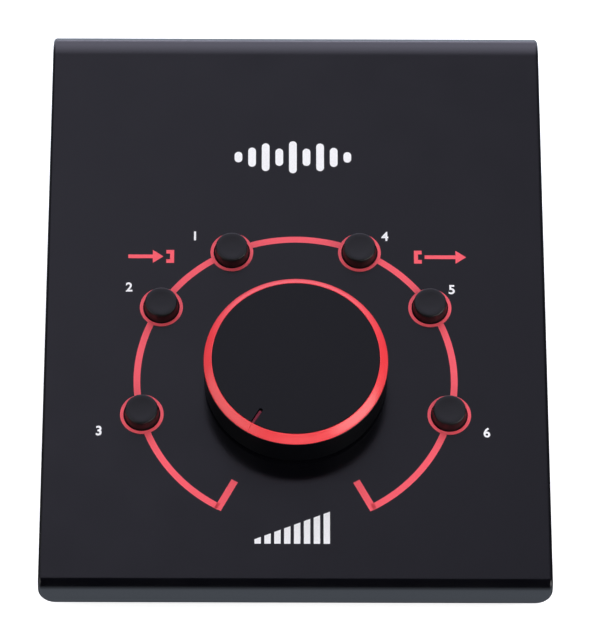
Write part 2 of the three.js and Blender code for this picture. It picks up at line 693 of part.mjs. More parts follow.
function makePhonoSleeve() {
  const bore = phonoSleeveRadius - phonoSleeveWall;
  return turned([
    [bore, -coverWall], [phonoSleeveRadius, -coverWall], [phonoSleeveRadius, phonoReach],
    [bore, phonoReach], [bore, -coverWall],
  ], holeSides);
}

function makeMiniJack() {
  const below = socketHeight - jackBoardTop - seatGap;
  return cut(join(new THREE.BoxGeometry(miniBodyWidth, miniBodyHeight, miniBodyDepth)
    .translate(0, below - miniBodyHeight / 2, behindWall - miniBodyDepth / 2),
  rod(miniNoseRadius, behindWall - overrun, miniNoseReach, holeSides)),
  rod(miniBoreRadius, miniNoseReach - miniBoreDepth, miniNoseReach + overrun, boreSides));
}

function makeMiniNut() {
  return turned([
    [miniNoseRadius + seatGap, seatGap], [miniNutRadius, seatGap],
    [miniNutRadius, seatGap + miniNutHeight], [miniNoseRadius + seatGap, seatGap + miniNutHeight],
    [miniNoseRadius + seatGap, seatGap],
  ], holeSides);
}

// The ribbon cable's edge view: a smooth strip from the control header down and back to the other
function makeRibbon() {
  const leave = new THREE.Vector3(0, controlHeaderFromDial, boardBottom - headerHeight - 2 * seatGap)
    .applyMatrix4(deckFrame);
  const start = new THREE.Vector2(leave.y, leave.z);
  const end = new THREE.Vector2(jackBoardFront - seatGap, jackBoardTop + seatGap + headerHeight / 2);
  const bow = (ribbonLength - start.distanceTo(end)) / 2;
  const route = new THREE.CubicBezierCurve(start,
    new THREE.Vector2(start.x + bow * Math.sin(deckSlope), start.y - bow * Math.cos(deckSlope)),
    new THREE.Vector2(end.x - bow, end.y), end);
  const side = (offset) => Array.from({ length: ribbonSteps + 1 }, (_, i) => {
    const along = route.getTangent(i / ribbonSteps);
    return route.getPoint(i / ribbonSteps).add(new THREE.Vector2(-along.y, along.x).multiplyScalar(offset));
  });
  const shape = new THREE.Shape([...side(ribbonThickness / 2), ...side(-ribbonThickness / 2).reverse()]);
  return acrossX(shape, ribbonWidth);
}

// Case
add(group, 'cover', makeCover(), blackPaint);
add(group, 'tray', makeTray(), trayPaint);
for (const side of [-1, 1]) {
  const hand = side < 0 ? 'left' : 'right';
  const x = side * (coverWidth / 2 - footInsetX);
  add(group, `foot_front_${hand}`, makeFoot(), rubber, x, frontY + footInsetY);
  add(group, `foot_rear_${hand}`, makeFoot(), rubber, x, rearY - footInsetY);
}
for (const { name, x, y } of closingScrewPlaces) {
  add(group, `tray_screw_${name}`, makeScrew(trayWall + trayScrewReach), blackScrew, x, y,
    footHeight - seatGap);
}

// Volume dial and its potentiometer
add(deck, 'dial_body', makeDialBody(), dialBlack);
add(deck, 'dial_ring', makeDialRing(), dialRed);
add(deck, 'dial_cap', makeDialCap(), dialBlack);
add(deck, 'pot_shaft', makeShaft(0, potShaftTop, -potShaftRoot), nickel);
add(deck, 'pot_case', makePotCase(), zinc);
add(deck, 'pot_nut', makeNut(potNutFlats, bushingRadius + seatGap, seatGap, seatGap + potNutHeight),
  zinc);

// Six buttons with their switches
for (const { name, angle } of buttons) {
  const { x, y } = buttonPlace(angle);
  add(deck, `${name}_cap`, makeCap(), capBlack, x, y);
  add(deck, `${name}_plunger`, makePlunger(), plungerWhite, x, y);
  add(deck, `${name}_switch`, makeSwitch(), socketBlack, x, y);
}

// Control board, its screws and its header
add(deck, 'control_board', makeControlBoard(), boardGreen);
for (const { name, x, y } of standoffPlaces) {
  add(deck, `board_screw_${name}`, makeScrew(boardThickness + boardScrewReach - seatGap), zinc, x, y,
    boardBottom - seatGap);
}
add(deck, 'control_header', block(headerWidth, headerDepth, boardBottom - seatGap - headerHeight,
  boardBottom - seatGap), socketBlack, 0, controlHeaderFromDial);

// Socket row on its board
add(group, 'jack_board', makeJackBoard(), boardGreen);
for (const { name, x } of socketPlaces) {
  add(group, `${name}_socket`, towardsRear(makeSocket(), 0, 0, 0), socketBlack, x, rearY, socketHeight);
  add(group, `${name}_nut`, towardsRear(makeNut(socketNutFlats, noseRadius + seatGap, seatGap,
    seatGap + socketNutHeight), 0, 0, 0), socketBlack, x, rearY, socketHeight);
}
add(group, 'phono_block', towardsRear(makePhonoBlock(), 0, 0, 0), socketBlack, phonoX, rearY, socketHeight);
add(group, 'phono_sleeve_lower', towardsRear(makePhonoSleeve(), 0, 0, 0), nickel, phonoX, rearY,
  socketHeight);
add(group, 'phono_sleeve_upper', towardsRear(makePhonoSleeve(), 0, 0, 0), nickel, phonoX, rearY,
  socketHeight + phonoSpacing);
add(group, 'mini_jack', towardsRear(makeMiniJack(), 0, 0, 0), socketBlack, miniX, rearY, socketHeight);
add(group, 'mini_jack_nut', towardsRear(makeMiniNut(), 0, 0, 0), nickel, miniX, rearY, socketHeight);
add(group, 'jack_header', block(headerWidth, headerDepth, jackBoardTop + seatGap,
  jackBoardTop + seatGap + headerHeight), socketBlack, 0, jackBoardFront + headerDepth / 2);
add(group, 'ribbon_cable', makeRibbon(), ribbonGrey);

export default group;
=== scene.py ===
import json
import math
import bmesh
import bpy
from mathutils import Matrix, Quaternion, Vector


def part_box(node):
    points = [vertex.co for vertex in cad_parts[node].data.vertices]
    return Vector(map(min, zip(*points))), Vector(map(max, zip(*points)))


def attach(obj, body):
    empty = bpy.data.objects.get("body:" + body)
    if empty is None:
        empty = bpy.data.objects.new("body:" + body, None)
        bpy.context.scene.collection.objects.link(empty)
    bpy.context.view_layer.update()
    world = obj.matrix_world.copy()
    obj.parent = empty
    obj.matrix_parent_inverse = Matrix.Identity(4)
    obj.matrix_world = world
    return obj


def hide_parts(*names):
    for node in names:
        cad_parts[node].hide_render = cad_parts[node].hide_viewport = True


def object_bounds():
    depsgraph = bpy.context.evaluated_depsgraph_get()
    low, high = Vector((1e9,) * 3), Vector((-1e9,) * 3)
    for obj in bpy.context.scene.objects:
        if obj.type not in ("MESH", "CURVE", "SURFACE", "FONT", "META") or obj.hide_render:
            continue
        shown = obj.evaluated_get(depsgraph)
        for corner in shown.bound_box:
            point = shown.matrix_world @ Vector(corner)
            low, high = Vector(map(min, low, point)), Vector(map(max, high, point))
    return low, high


# Studio monitor controller: a folded steel wedge with a large dial and six buttons.
# Pieces are drawn in millimetres and brought to metres, at their place, when they are finished.

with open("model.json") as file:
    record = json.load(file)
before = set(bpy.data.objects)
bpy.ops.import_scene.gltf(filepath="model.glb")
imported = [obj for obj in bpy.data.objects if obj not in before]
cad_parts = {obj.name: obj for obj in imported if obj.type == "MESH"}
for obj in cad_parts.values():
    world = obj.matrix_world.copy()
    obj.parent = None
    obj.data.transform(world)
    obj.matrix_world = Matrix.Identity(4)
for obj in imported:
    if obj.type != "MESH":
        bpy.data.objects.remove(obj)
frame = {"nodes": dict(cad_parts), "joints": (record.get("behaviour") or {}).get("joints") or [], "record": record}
cadLow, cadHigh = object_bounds()
mm = 0.001
quarterTurn = math.pi / 2


def cadBox(node):  # lowest and highest corner of a CAD node, in millimetres
    low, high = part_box(node)
    return low / mm, high / mm


dialJoint = next(joint for joint in frame["joints"] if joint["name"] == "dial_turn")
dialPlace = Vector(dialJoint["pos_m"]) / mm
deckSlope = math.atan2(dialJoint["axis"][1], -dialJoint["axis"][2])
dialSweep = math.radians(dialJoint["range_deg"][1])
upDeck = Vector((0, math.cos(deckSlope), math.sin(deckSlope)))
offDeck = Vector((0, -math.sin(deckSlope), math.cos(deckSlope)))
coverLow, coverHigh = cadBox("cover")
rearWall = coverHigh.y

print("frame loaded")

# Camera: the photograph's view, square to the object and 43 degrees above the desk

cameraView = {
    "elevation": 43.16,  # degrees above the horizon
    "azimuth": -0.41,  # to the left of the object's middle plane
    "roll": 0.45,
    "distance": 1232,  # from the dial's middle on the deck
    "rise": 16.37,  # of the lens axis over that point
    "sideways": 0.12,
    "focalLength": 248.85,
}


def makeCamera():
    lift, around = math.radians(cameraView["elevation"]), math.radians(cameraView["azimuth"])
    level = math.cos(lift)
    back = Vector((math.sin(around) * level, -math.cos(around) * level, math.sin(lift)))
    facing = back.to_track_quat("Z", "Y")
    up = facing @ Vector((0, 1, 0))
    place = dialPlace + up * cameraView["rise"] + back * cameraView["distance"]
    place.x += cameraView["sideways"]
    turned = facing @ Quaternion((0, 0, 1), math.radians(cameraView["roll"]))
    bpy.ops.object.camera_add(location=place * mm, rotation=turned.to_euler())
    camera = bpy.context.object
    camera.data.lens = cameraView["focalLength"]
    camera.data.clip_start = 0.05
    camera.data.clip_end = 60
    bpy.context.scene.camera = camera


makeCamera()

# Materials


def linear(hexColour):  # an sRGB hex value as linear red, green, blue and full alpha
    channels = [int(hexColour[i:i + 2], 16) / 255 for i in (1, 3, 5)]
    return [c / 12.92 if c <= 0.04045 else ((c + 0.055) / 1.055) ** 2.4 for c in channels] + [1]


def feed(tree, node, inputs):  # sets a node's inputs to values, or ties them to other nodes
    for name, value in inputs.items():
        if isinstance(value, bpy.types.Node):
            value = value.outputs[0]
        if isinstance(value, bpy.types.NodeSocket):
            tree.links.new(value, node.inputs[name])
        else:
            node.inputs[name].default_value = value


def addNode(tree, kind, inputs=None, **settings):
    node = tree.nodes.new(kind)
    for name, value in settings.items():
        setattr(node, name, value)
    feed(tree, node, inputs or {})
    return node


def newMaterial(name, constants):  # a material with only its shader
    material = bpy.data.materials.new(name)
    material.use_nodes = True
    tree = material.node_tree
    surface = tree.nodes["Principled BSDF"]
    feed(tree, surface, constants)
    return material, tree, surface


noiseLow, noiseHigh = 0.3, 0.7  # most of the noise lies between these


def patternedFinish(name, constants, patterns, tints, roughness=None, relief=None):
    # patterns are noises with a grain size in mm and a detail; the colour wanders between two
    # tints, and the roughness and the relief, whose depth is in mm, follow a pattern each
    material, tree, surface = newMaterial(name, constants)
    place = addNode(tree, "ShaderNodeTexCoord").outputs["Object"]
    noises = {}
    for pattern, (grainSize, detail) in patterns.items():
        noises[pattern] = addNode(tree, "ShaderNodeTexNoise", {
            "Vector": place, "Scale": 1 / (grainSize * mm), "Detail": detail})
    pattern, *colours = tints
    ramp = addNode(tree, "ShaderNodeValToRGB", {"Fac": noises[pattern]})
    for stop, level, colour in zip(ramp.color_ramp.elements, (noiseLow, noiseHigh), colours):
        stop.position = level
        stop.color = linear(colour)
    feed(tree, surface, {"Base Color": ramp})
    if roughness:
        pattern, low, high = roughness
        rough = addNode(tree, "ShaderNodeMapRange", {
            "Value": noises[pattern], "From Min": noiseLow, "From Max": noiseHigh,
            "To Min": low, "To Max": high})
        feed(tree, surface, {"Roughness": rough})
    if relief:
        pattern, depth = relief
        bump = addNode(tree, "ShaderNodeBump", {
            "Height": noises[pattern], "Distance": depth * mm, "Strength": 1.0})
        feed(tree, surface, {"Normal": bump})
    return material


def powderCoatedSteel(name, dark, light, roughness):
    # fine-grained polyester powder, baked on: soft sheen, slight orange peel, no clear reflections
    return patternedFinish(
        name, {"IOR": 1.5}, {"patches": (14, 2), "peel": (0.55, 1)}, ("patches", dark, light),
        roughness=("patches", roughness - 0.02, roughness + 0.03), relief=("peel", 0.012))


def anodisedAluminium(name, dark, light, roughness):
    # turned, bead-blasted and dyed black: deep colour with a very fine even grain; the real
    # blasting is finer and would not show
    return patternedFinish(
        name, {"IOR": 1.4}, {"patches": (9, 2), "blast": (0.18, 1)}, ("patches", dark, light),
        roughness=("blast", roughness - 0.05, roughness + 0.05), relief=("blast", 0.004))


def lacqueredAluminium(name, dark, light, roughness, gloss):
    # red lacquer over machined metal: smooth and even, with a tight soft highlight where thick
    return patternedFinish(
        name, {"IOR": 1.5, "Coat Weight": gloss, "Coat Roughness": 0.27}, {"patches": (5, 2)},
        ("patches", dark, light), roughness=("patches", roughness - 0.03, roughness + 0.03))


def screenInk(name, dark, light):
    # a thin layer of ink pulled through a mesh: flat colour with a faint weave of its own
    return patternedFinish(
        name, {"IOR": 1.45}, {"weave": (0.25, 0)}, ("weave", dark, light),
        roughness=("weave", 0.5, 0.6), relief=("weave", 0.004))


def mouldedPlastic(name, dark, light, roughness):
    # moulded ABS or nylon: spark-eroded grain, a soft sheen on the rounded edges
    return patternedFinish(
        name, {"IOR": 1.52}, {"patches": (4, 2), "spark": (0.3, 1)}, ("patches", dark, light),
        roughness=("spark", roughness - 0.05, roughness + 0.05), relief=("spark", 0.006))


def nitrileRubber(name, dark, light):
    # moulded rubber: dull, with a dusty bloom in patches
    return patternedFinish(
        name, {"IOR": 1.5}, {"bloom": (2.5, 4)}, ("bloom", dark, light),
        roughness=("bloom", 0.75, 0.9), relief=("bloom", 0.02))


def platedSteel(name, dark, light, roughness):
    # electroplated: metal with a slightly cloudy shine
    return patternedFinish(
        name, {"Metallic": 1.0}, {"cloud": (1.2, 3)}, ("cloud", dark, light),
        roughness=("cloud", roughness - 0.05, roughness + 0.08))


def solderMaskBoard(name, dark, light):
    # glass epoxy under green solder mask: the glass weave shows through faintly
    return patternedFinish(
        name, {"IOR": 1.5, "Roughness": 0.35}, {"weave": (0.5, 1)}, ("weave", dark, light),
        relief=("weave", 0.01))


finishes = {
    "black_paint": powderCoatedSteel("powderCoatedSteel", "#06060a", "#08080c", 0.2),
    "tray_paint": powderCoatedSteel("powderCoatedTray", "#0c0c0f", "#0e0e11", 0.5),
    "dial_black": anodisedAluminium("anodisedAluminium", "#06070a", "#07080b", 0.34),
    "dial_red": lacqueredAluminium("redLacqueredAluminium", "#fb3b42", "#ff3f46", 0.42, 1.0),
    "print_red": screenInk("redScreenInk", "#f85a66", "#fd606c"),
    "print_white": screenInk("whiteScreenInk", "#f0f0f0", "#fafafa"),
    "cap_black": mouldedPlastic("mouldedAbs", "#09090b", "#0b0b0d", 0.46),
    "rubber": nitrileRubber("nitrileRubber", "#141415", "#1e1e1f"),
    "zinc": platedSteel("zincPlatedSteel", "#a5a7a9", "#b1b3b5", 0.32),
    "nickel": platedSteel("nickelPlatedBrass", "#bdb9b0", "#c9c5bd", 0.2),
    "black_screw": platedSteel("blackZincSteel", "#2a2a2c", "#343436", 0.4),
    "board_green": solderMaskBoard("glassEpoxyBoard", "#184d2f", "#22653f"),
    "socket_black": mouldedPlastic("mouldedNylon", "#151618", "#1a1b1d", 0.5),
    "plunger_white": mouldedPlastic("mouldedAcetal", "#d3d1c9", "#dbd9d1", 0.45),
    "ribbon_grey": mouldedPlastic("extrudedPvc", "#878a8e", "#93969a", 0.5),
}
for part in frame["record"]["subparts"]:
    frame["nodes"][part["node"]].data.materials.clear()
    frame["nodes"][part["node"]].data.materials.append(finishes[part["material_slot"]])

print("materials made")

# Tools shared by the pieces

drillReach = 4  # how far a tool that cuts a hole reaches past either side of a sheet
cutMargin = 20  # how much larger than the case a block is that trims it


def objectMode():
    bpy.ops.object.mode_set(mode="OBJECT")


def editMode():
    bpy.ops.object.mode_set(mode="EDIT")


def selectMesh():
    bpy.ops.mesh.select_all(action="SELECT")


def deselectAll():
    if bpy.context.object and bpy.context.object.mode != "OBJECT":
        objectMode()
    bpy.ops.object.select_all(action="DESELECT")


def workOn(piece):
    deselectAll()
    piece.select_set(True)
    bpy.context.view_layer.objects.active = piece


def pick(kind, test, sharp=None):
    # in edit mode, selects what passes a test of its middle and its direction, or of these only
    # the edges whose faces meet at more than a sharp angle
    bpy.ops.mesh.select_mode(type=kind)
    bpy.ops.mesh.select_all(action="DESELECT")
    mesh = bpy.context.object.data
    shape = bmesh.from_edit_mesh(mesh)
    for item in {"VERT": shape.verts, "EDGE": shape.edges, "FACE": shape.faces}[kind]:
        corners = [item] if kind == "VERT" else item.verts
        middle = sum((corner.co for corner in corners), Vector()) / len(corners)
        if kind == "EDGE":
            lean = (item.verts[1].co - item.verts[0].co).normalized()
        else:
            lean = item.normal
        if test(middle, lean) and (sharp is None or item.calc_face_angle(0) > sharp):
            item.select_set(True)
    shape.select_flush_mode()
    bmesh.update_edit_mesh(mesh)


def bevelEdges(width, segments, clamp=False):  # in edit mode, rounds the selected edges
    bpy.ops.mesh.bevel(offset=width, segments=segments, affect="EDGES", clamp_overlap=clamp)


def applyPlace(piece, place=None, turn=None):  # bakes a piece's place and turn into its mesh
    if place is not None:
        piece.location = place
    if turn is not None:
        piece.rotation_euler = turn
    workOn(piece)
    bpy.ops.object.transform_apply(location=True, rotation=True, scale=True)


def addPrimitive(name, primitive, **settings):
    deselectAll()
    primitive(**settings)
    piece = bpy.context.object
    piece.name = name
    piece.data.name = name
    return piece


def startPiece(name, primitive, **settings):
    # a primitive whose place is in its mesh, in edit mode, with everything selected
    piece = addPrimitive(name, primitive, **settings)
    applyPlace(piece)
    editMode()
    selectMesh()
    return piece


def startEdge(name, middle, length, along=0):  # one edge along X, or Y, to extrude and spin
    piece = startPiece(name, bpy.ops.mesh.primitive_plane_add, size=2)
    across = 1 - along
    pick("VERT", lambda place, lean: place[across] > 0)
    bpy.ops.mesh.delete(type="VERT")
    selectMesh()
    growth, shift = [1, 1, 1], Vector(middle)
    growth[along] = length / 2
    shift[across] += 1
    bpy.ops.transform.resize(value=growth, center_override=(0, 0, 0))
    bpy.ops.transform.translate(value=shift)
    return piece


def startPoint(name, place):  # one point, to extrude into an outline
    piece = startPiece(name, bpy.ops.mesh.primitive_plane_add, size=2)
    bpy.ops.mesh.merge(type="CENTER")
    bpy.ops.transform.translate(value=place)
    return piece


def weldMesh(threshold=0.001):
    selectMesh()
    bpy.ops.mesh.remove_doubles(threshold=threshold)


def faceTowards(direction, rank):  # turns the faces over where the one ranked first looks away
    selectMesh()
    shape = bmesh.from_edit_mesh(bpy.context.object.data)
    if max(shape.faces, key=rank).normal.dot(Vector(direction)) < 0:
        bpy.ops.mesh.flip_normals()


def addModifier(piece, kind, **settings):  # puts a modifier on the piece and applies it
    workOn(piece)
    modifier = piece.modifiers.new(kind.title(), kind)
    for name, value in settings.items():
        setattr(modifier, name, value)
    bpy.ops.object.modifier_apply(modifier=modifier.name)


def easeEdges(piece, width, angle=40):
    addModifier(piece, "BEVEL", width=width, segments=2, limit_method="ANGLE",
                angle_limit=math.radians(angle), miter_outer="MITER_ARC", use_clamp_overlap=True)


def cutWith(piece, cutter, operation="DIFFERENCE"):
    addModifier(piece, "BOOLEAN", object=cutter, operation=operation, solver="EXACT")
    bpy.data.objects.remove(cutter)


def joinPieces(pieces):  # joins them into the first
    workOn(pieces[0])
    for piece in pieces[1:]:
        piece.select_set(True)
    bpy.ops.object.join()
    return pieces[0]


def makeRod(radius, low, high, sides=48, x=0, y=0):  # a plain cylinder, only used to cut with
    rod = startPiece("rod", bpy.ops.mesh.primitive_cylinder_add, vertices=sides, radius=radius,
                     depth=high - low, location=(x, y, (low + high) / 2))
    objectMode()
    return rod


def makeDrill(radius, x=0, y=0, sides=64):  # a rod through a sheet that lies level at zero
    return makeRod(radius, -drillReach, drillReach, sides, x, y)


def makeBlock(name, size, middle):  # a box in edit mode
    return startPiece(name, bpy.ops.mesh.primitive_cube_add, size=1, location=middle, scale=size)


def cutCross(piece, barSize, height):  # cuts two bars that cross on the piece's axis
    for turn in (0, quarterTurn):
        bar = makeBlock("crossBar", barSize, (0, 0, height))
        applyPlace(bar, turn=(0, 0, turn))
        cutWith(piece, bar)


def makeShell(name, size, middle, edge):  # a moulded block with eased edges
    shell = makeBlock(name, size, middle)
    pick("EDGE", lambda place, lean: True)
    bevelEdges(edge, 3)
    objectMode()
    return shell


def drawTurned(name, profile, sides=96):
    # draws a turned piece ring by ring, from (radius, height) pairs given along its outside
    radius, height = profile[0]
    if radius == 0:
        radius, height = profile[1]
        profile = profile[1:]
        fill = "NGON"
    else:
        fill = "NOTHING"
    piece = startPiece(name, bpy.ops.mesh.primitive_circle_add, vertices=sides, radius=radius,
                       fill_type=fill, location=(0, 0, height))
    if fill == "NGON":
        pick("EDGE", lambda middle, lean: True)
    for nextRadius, nextHeight in profile[1:]:
        if nextRadius == 0:
            bpy.ops.mesh.edge_face_add()
            break
        rise, growth = nextHeight - height, nextRadius / radius
        bpy.ops.mesh.extrude_edges_move(TRANSFORM_OT_translate={"value": (0, 0, rise)})
        bpy.ops.transform.resize(value=(growth, growth, 1), center_override=(0, 0, nextHeight))
        radius, height = nextRadius, nextHeight
    weldMesh()
    bpy.ops.mesh.normals_make_consistent(inside=False)
    objectMode()
    return piece


def arcProfile(centreRadius, centreHeight, radius, fromAngle, toAngle, steps):
    angles = [fromAngle + (toAngle - fromAngle) * i / steps for i in range(steps + 1)]
    return [(centreRadius + radius * math.cos(angle), centreHeight + radius * math.sin(angle))
            for angle in angles]


def finishPiece(piece, slotName, body, node=None, place=(0, 0, 0), lean=0.0, spin=0.0, angle=30):
    # turns the piece about its own axis, leans it about X and sets it down, in metres
    piece.rotation_mode = "ZYX"
    piece.rotation_euler = (lean, 0, spin)
    piece.scale = (mm, mm, mm)
    piece.location = Vector(place) * mm
    applyPlace(piece)
    bpy.ops.object.shade_smooth_by_angle(angle=math.radians(angle))
    addModifier(piece, "WEIGHTED_NORMAL", keep_sharp=True)
    piece.data.materials.clear()
    piece.data.materials.append(finishes[slotName])
    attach(piece, body)
    if node:
        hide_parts(node)


def copyPiece(piece, name):
    twin = piece.copy()
    twin.data = piece.data.copy()
    twin.name = name
    twin.data.name = name
    bpy.context.collection.objects.link(twin)
    return twin


# Buttons stand on an arc round the dial, by their angle from the top, clockwise

buttons = {
    "channel_swap": -24.2, "input_select": -59.0, "mute": -104.1,
    "output_a": 24.2, "output_b": 59.0, "mono": 104.1,
}
arcRadius = 43.83
corners = ["front_left", "front_right", "rear_left", "rear_right"]  # of the feet and their screws


def onDeck(x, y):  # a point on the deck, by its place across and up it from the dial's middle
    return dialPlace + Vector((x, 0, 0)) + upDeck * y


def buttonPlace(name):
    angle = math.radians(buttons[name])
    return arcRadius * math.sin(angle), arcRadius * math.cos(angle)


# Case

coverSheet = {
    "wall": 1.5,
    "frontRadius": 3.0,  # bend radii of the outer face
    "rearRadius": 9.5,
    "cornerRadius": 4.7,
    "cornerSteps": 14,
    "outerEdge": 1.0,  # rounding of the sheet's cut edges on its outer and its inner face
    "outerEdgeSteps": 6,
    "innerEdge": 0.3,
    "innerEdgeSteps": 2,
    "frontSteps": 10,
    "rearSteps": 28,
    "buttonHole": 5.05,
    "shaftHole": 4.8,
    "socketHole": 6.1,
    "phonoHole": 4.5,
    "miniHole": 3.3,
}


def bendCentre(y, radius):  # middle of a bend that touches the deck, at a given y
    height = (dialPlace.dot(offDeck) - radius + math.sin(deckSlope) * y) / math.cos(deckSlope)
    return Vector((0, y, height))


frontRadius, rearRadius = coverSheet["frontRadius"], coverSheet["rearRadius"]
frontBend = bendCentre(coverLow.y + frontRadius, frontRadius)
rearBend = bendCentre(coverHigh.y - rearRadius, rearRadius)


def flatRun(shift):  # one flat run of a folded section
    bpy.ops.mesh.extrude_region_move(TRANSFORM_OT_translate={"value": shift})


def bendBy(angle, centre, steps, axis=(1, 0, 0)):  # one bend of a folded section
    bpy.ops.mesh.spin(steps=steps, angle=angle, center=centre, axis=axis)


def roundSheetEdges(cover):
    # the edges of the outer face are rounded well, as from tumbling; the inner ones are only broken
    wall, nearFace = coverSheet["wall"], 0.1

    def depth(place):  # how far a point lies below the sheet's outer face
        if place.y < frontBend.y and place.z < frontBend.z:
            return place.y - coverLow.y
        if place.y > rearBend.y and place.z < rearBend.z:
            return coverHigh.y - place.y
        for centre, radius, forwards in ((frontBend, frontRadius, -1), (rearBend, rearRadius, 1)):
            away = Vector((0, place.y, place.z)) - centre
            if away.dot(upDeck) * forwards > 0 and away.length < radius + 1:
                return radius - away.length
        return (dialPlace - place).dot(offDeck)

    for edge, onFace in (("outerEdge", lambda deep: deep < nearFace),
                         ("innerEdge", lambda deep: abs(deep - wall) < nearFace)):
        workOn(cover)
        editMode()
        pick("EDGE", lambda middle, lean: onFace(depth(middle)), sharp=math.radians(50))
        bevelEdges(coverSheet[edge], coverSheet[edge + "Steps"], clamp=True)
        objectMode()


def makeCover():
    front, rear = coverLow.y, coverHigh.y
    bottom, halfWidth = coverLow.z, coverHigh.x
    cover = startEdge("coverSheet", (0, front, bottom), 2 * halfWidth)
    flatRun((0, 0, frontBend.z - bottom))
    bendBy(quarterTurn - deckSlope, frontBend, coverSheet["frontSteps"])
    flatRun((rearBend + offDeck * rearRadius) - (frontBend + offDeck * frontRadius))
    bendBy(quarterTurn + deckSlope, rearBend, coverSheet["rearSteps"])
    flatRun((0, 0, bottom - rearBend.z))
    weldMesh()
    faceTowards(offDeck, lambda face: face.calc_area())
    addModifier(cover, "SOLIDIFY", thickness=coverSheet["wall"], offset=-1, use_even_offset=True)

    # rounded lower corners: the sheet keeps only what lies in a block with rounded lower edges
    tall = coverHigh.z - bottom + 2 * cutMargin
    keep = makeBlock("keep", (2 * halfWidth, rear - front + cutMargin, tall), (0, 0, 0))
    pick("EDGE", lambda middle, lean: abs(lean.y) > 0.9 and middle.z < 0)
    bevelEdges(coverSheet["cornerRadius"], coverSheet["cornerSteps"])
    keep.location = (0, (front + rear) / 2, bottom + tall / 2)
    cutWith(cover, keep, "INTERSECT")
    roundSheetEdges(cover)

    deckTools = [makeDrill(coverSheet["buttonHole"], *buttonPlace(name), sides=80)
                 for name in buttons]
    deckTools.append(makeDrill(coverSheet["shaftHole"], sides=48))
    rearTools = [makeDrill(radius, middle.x, -middle.z) for middle, radius in rearHoles()]
    for tools, place, lean in ((deckTools, dialPlace, deckSlope),
                               (rearTools, (0, rear, 0), -quarterTurn)):
        cutter = joinPieces(tools)
        applyPlace(cutter, place, (lean, 0, 0))
        cutWith(cover, cutter)
    finishPiece(cover, "black_paint", "case", "cover", angle=25)


def socketNames():
    return [name[:-len("_socket")] for name in frame["nodes"] if name.endswith("_socket")]


def nodeMiddle(node):
    low, high = cadBox(node)
    return (low + high) / 2


def rearHoles():  # the middle and the radius of each hole in the rear wall
    holes = [(name + "_nut", "socketHole") for name in socketNames()]
    holes += [("phono_sleeve_lower", "phonoHole"), ("phono_sleeve_upper", "phonoHole"),
              ("mini_jack_nut", "miniHole")]
    return [(nodeMiddle(node), coverSheet[radius]) for node, radius in holes]


trayShell = {
    "wall": 1.2,
    "foldRadius": 5.0,
    "foldSteps": 12,
    "coverGap": 0.4,
    "cornerRadius": 2.0,
    "cornerSteps": 6,
    "rearSteps": 24,
    "edge": 0.3,
    "screwHole": 1.8,
    "trimOff": 5,  # the sheet starts this much too large, and is cut to the cover's inside
}


def makeTray():
    low, high = cadBox("tray")
    radius, margin = trayShell["foldRadius"], trayShell["trimOff"]
    side, bottom, top = high.x, low.z, high.z + margin
    length = high.y - low.y + 2 * margin
    tray = startEdge("trayShell", (-side, (low.y + high.y) / 2, top), length, along=1)
    flatRun((0, 0, bottom + radius - top))
    bendBy(quarterTurn, (radius - side, 0, bottom + radius), trayShell["foldSteps"], (0, 1, 0))
    flatRun((2 * (side - radius), 0, 0))
    bendBy(quarterTurn, (side - radius, 0, bottom + radius), trayShell["foldSteps"], (0, 1, 0))
    flatRun((0, 0, top - bottom - radius))
    weldMesh()
    faceTowards((0, 0, -1), lambda face: -face.calc_center_median().z)
    addModifier(tray, "SOLIDIFY", thickness=trayShell["wall"], offset=-1, use_even_offset=True)

    # the cheeks follow the inside of the cover: an outline drawn round it, filled and made a block
    inset = coverSheet["wall"] + trayShell["coverGap"]
    front, rear = coverLow.y + inset, coverHigh.y - inset
    radius, steps = trayShell["cornerRadius"], trayShell["cornerSteps"]
    low = bottom + radius
    deckStart = frontBend + offDeck * (frontRadius - inset)
    deckEnd = rearBend + offDeck * (rearRadius - inset)
    outline = startPoint("outline", (-side - margin, front, low))
    flatRun((0, 0, frontBend.z - bottom - radius))
    bendBy(quarterTurn - deckSlope, frontBend, steps)
    flatRun(deckEnd - deckStart)
    bendBy(quarterTurn + deckSlope, rearBend, trayShell["rearSteps"])
    flatRun((0, 0, low - rearBend.z))
    bendBy(quarterTurn, (0, rear - radius, low), steps)
    flatRun((0, front - rear + 2 * radius, 0))
    bendBy(quarterTurn, (0, front + radius, low), steps)
    weldMesh()
    bpy.ops.mesh.edge_face_add()
    flatRun((2 * side + 2 * margin, 0, 0))
    selectMesh()
    bpy.ops.mesh.normals_make_consistent(inside=False)
    cutWith(tray, outline, "INTERSECT")
    screwTools = []
    for corner in corners:  # holes for the closing screws
        x, y, height = nodeMiddle("tray_screw_" + corner)
        screwTools.append(makeRod(trayShell["screwHole"], bottom - drillReach,
                                  bottom + drillReach, 32, x, y))
    cutWith(tray, joinPieces(screwTools))
    easeEdges(tray, trayShell["edge"], angle=50)
    finishPiece(tray, "tray_paint", "case", "tray", angle=25)


rubberFoot = {
    "topRadius": 6.5,
    "bottomRadius": 5.6,
    "height": 3.5,
    "edge": 0.8,
    "ringInner": 2.2,  # a shallow moulded ring in the underside
    "ringOuter": 3.4,
    "ringDepth": 0.35,
    "ringSlope": 0.2,
    "topBreak": 0.15,
}


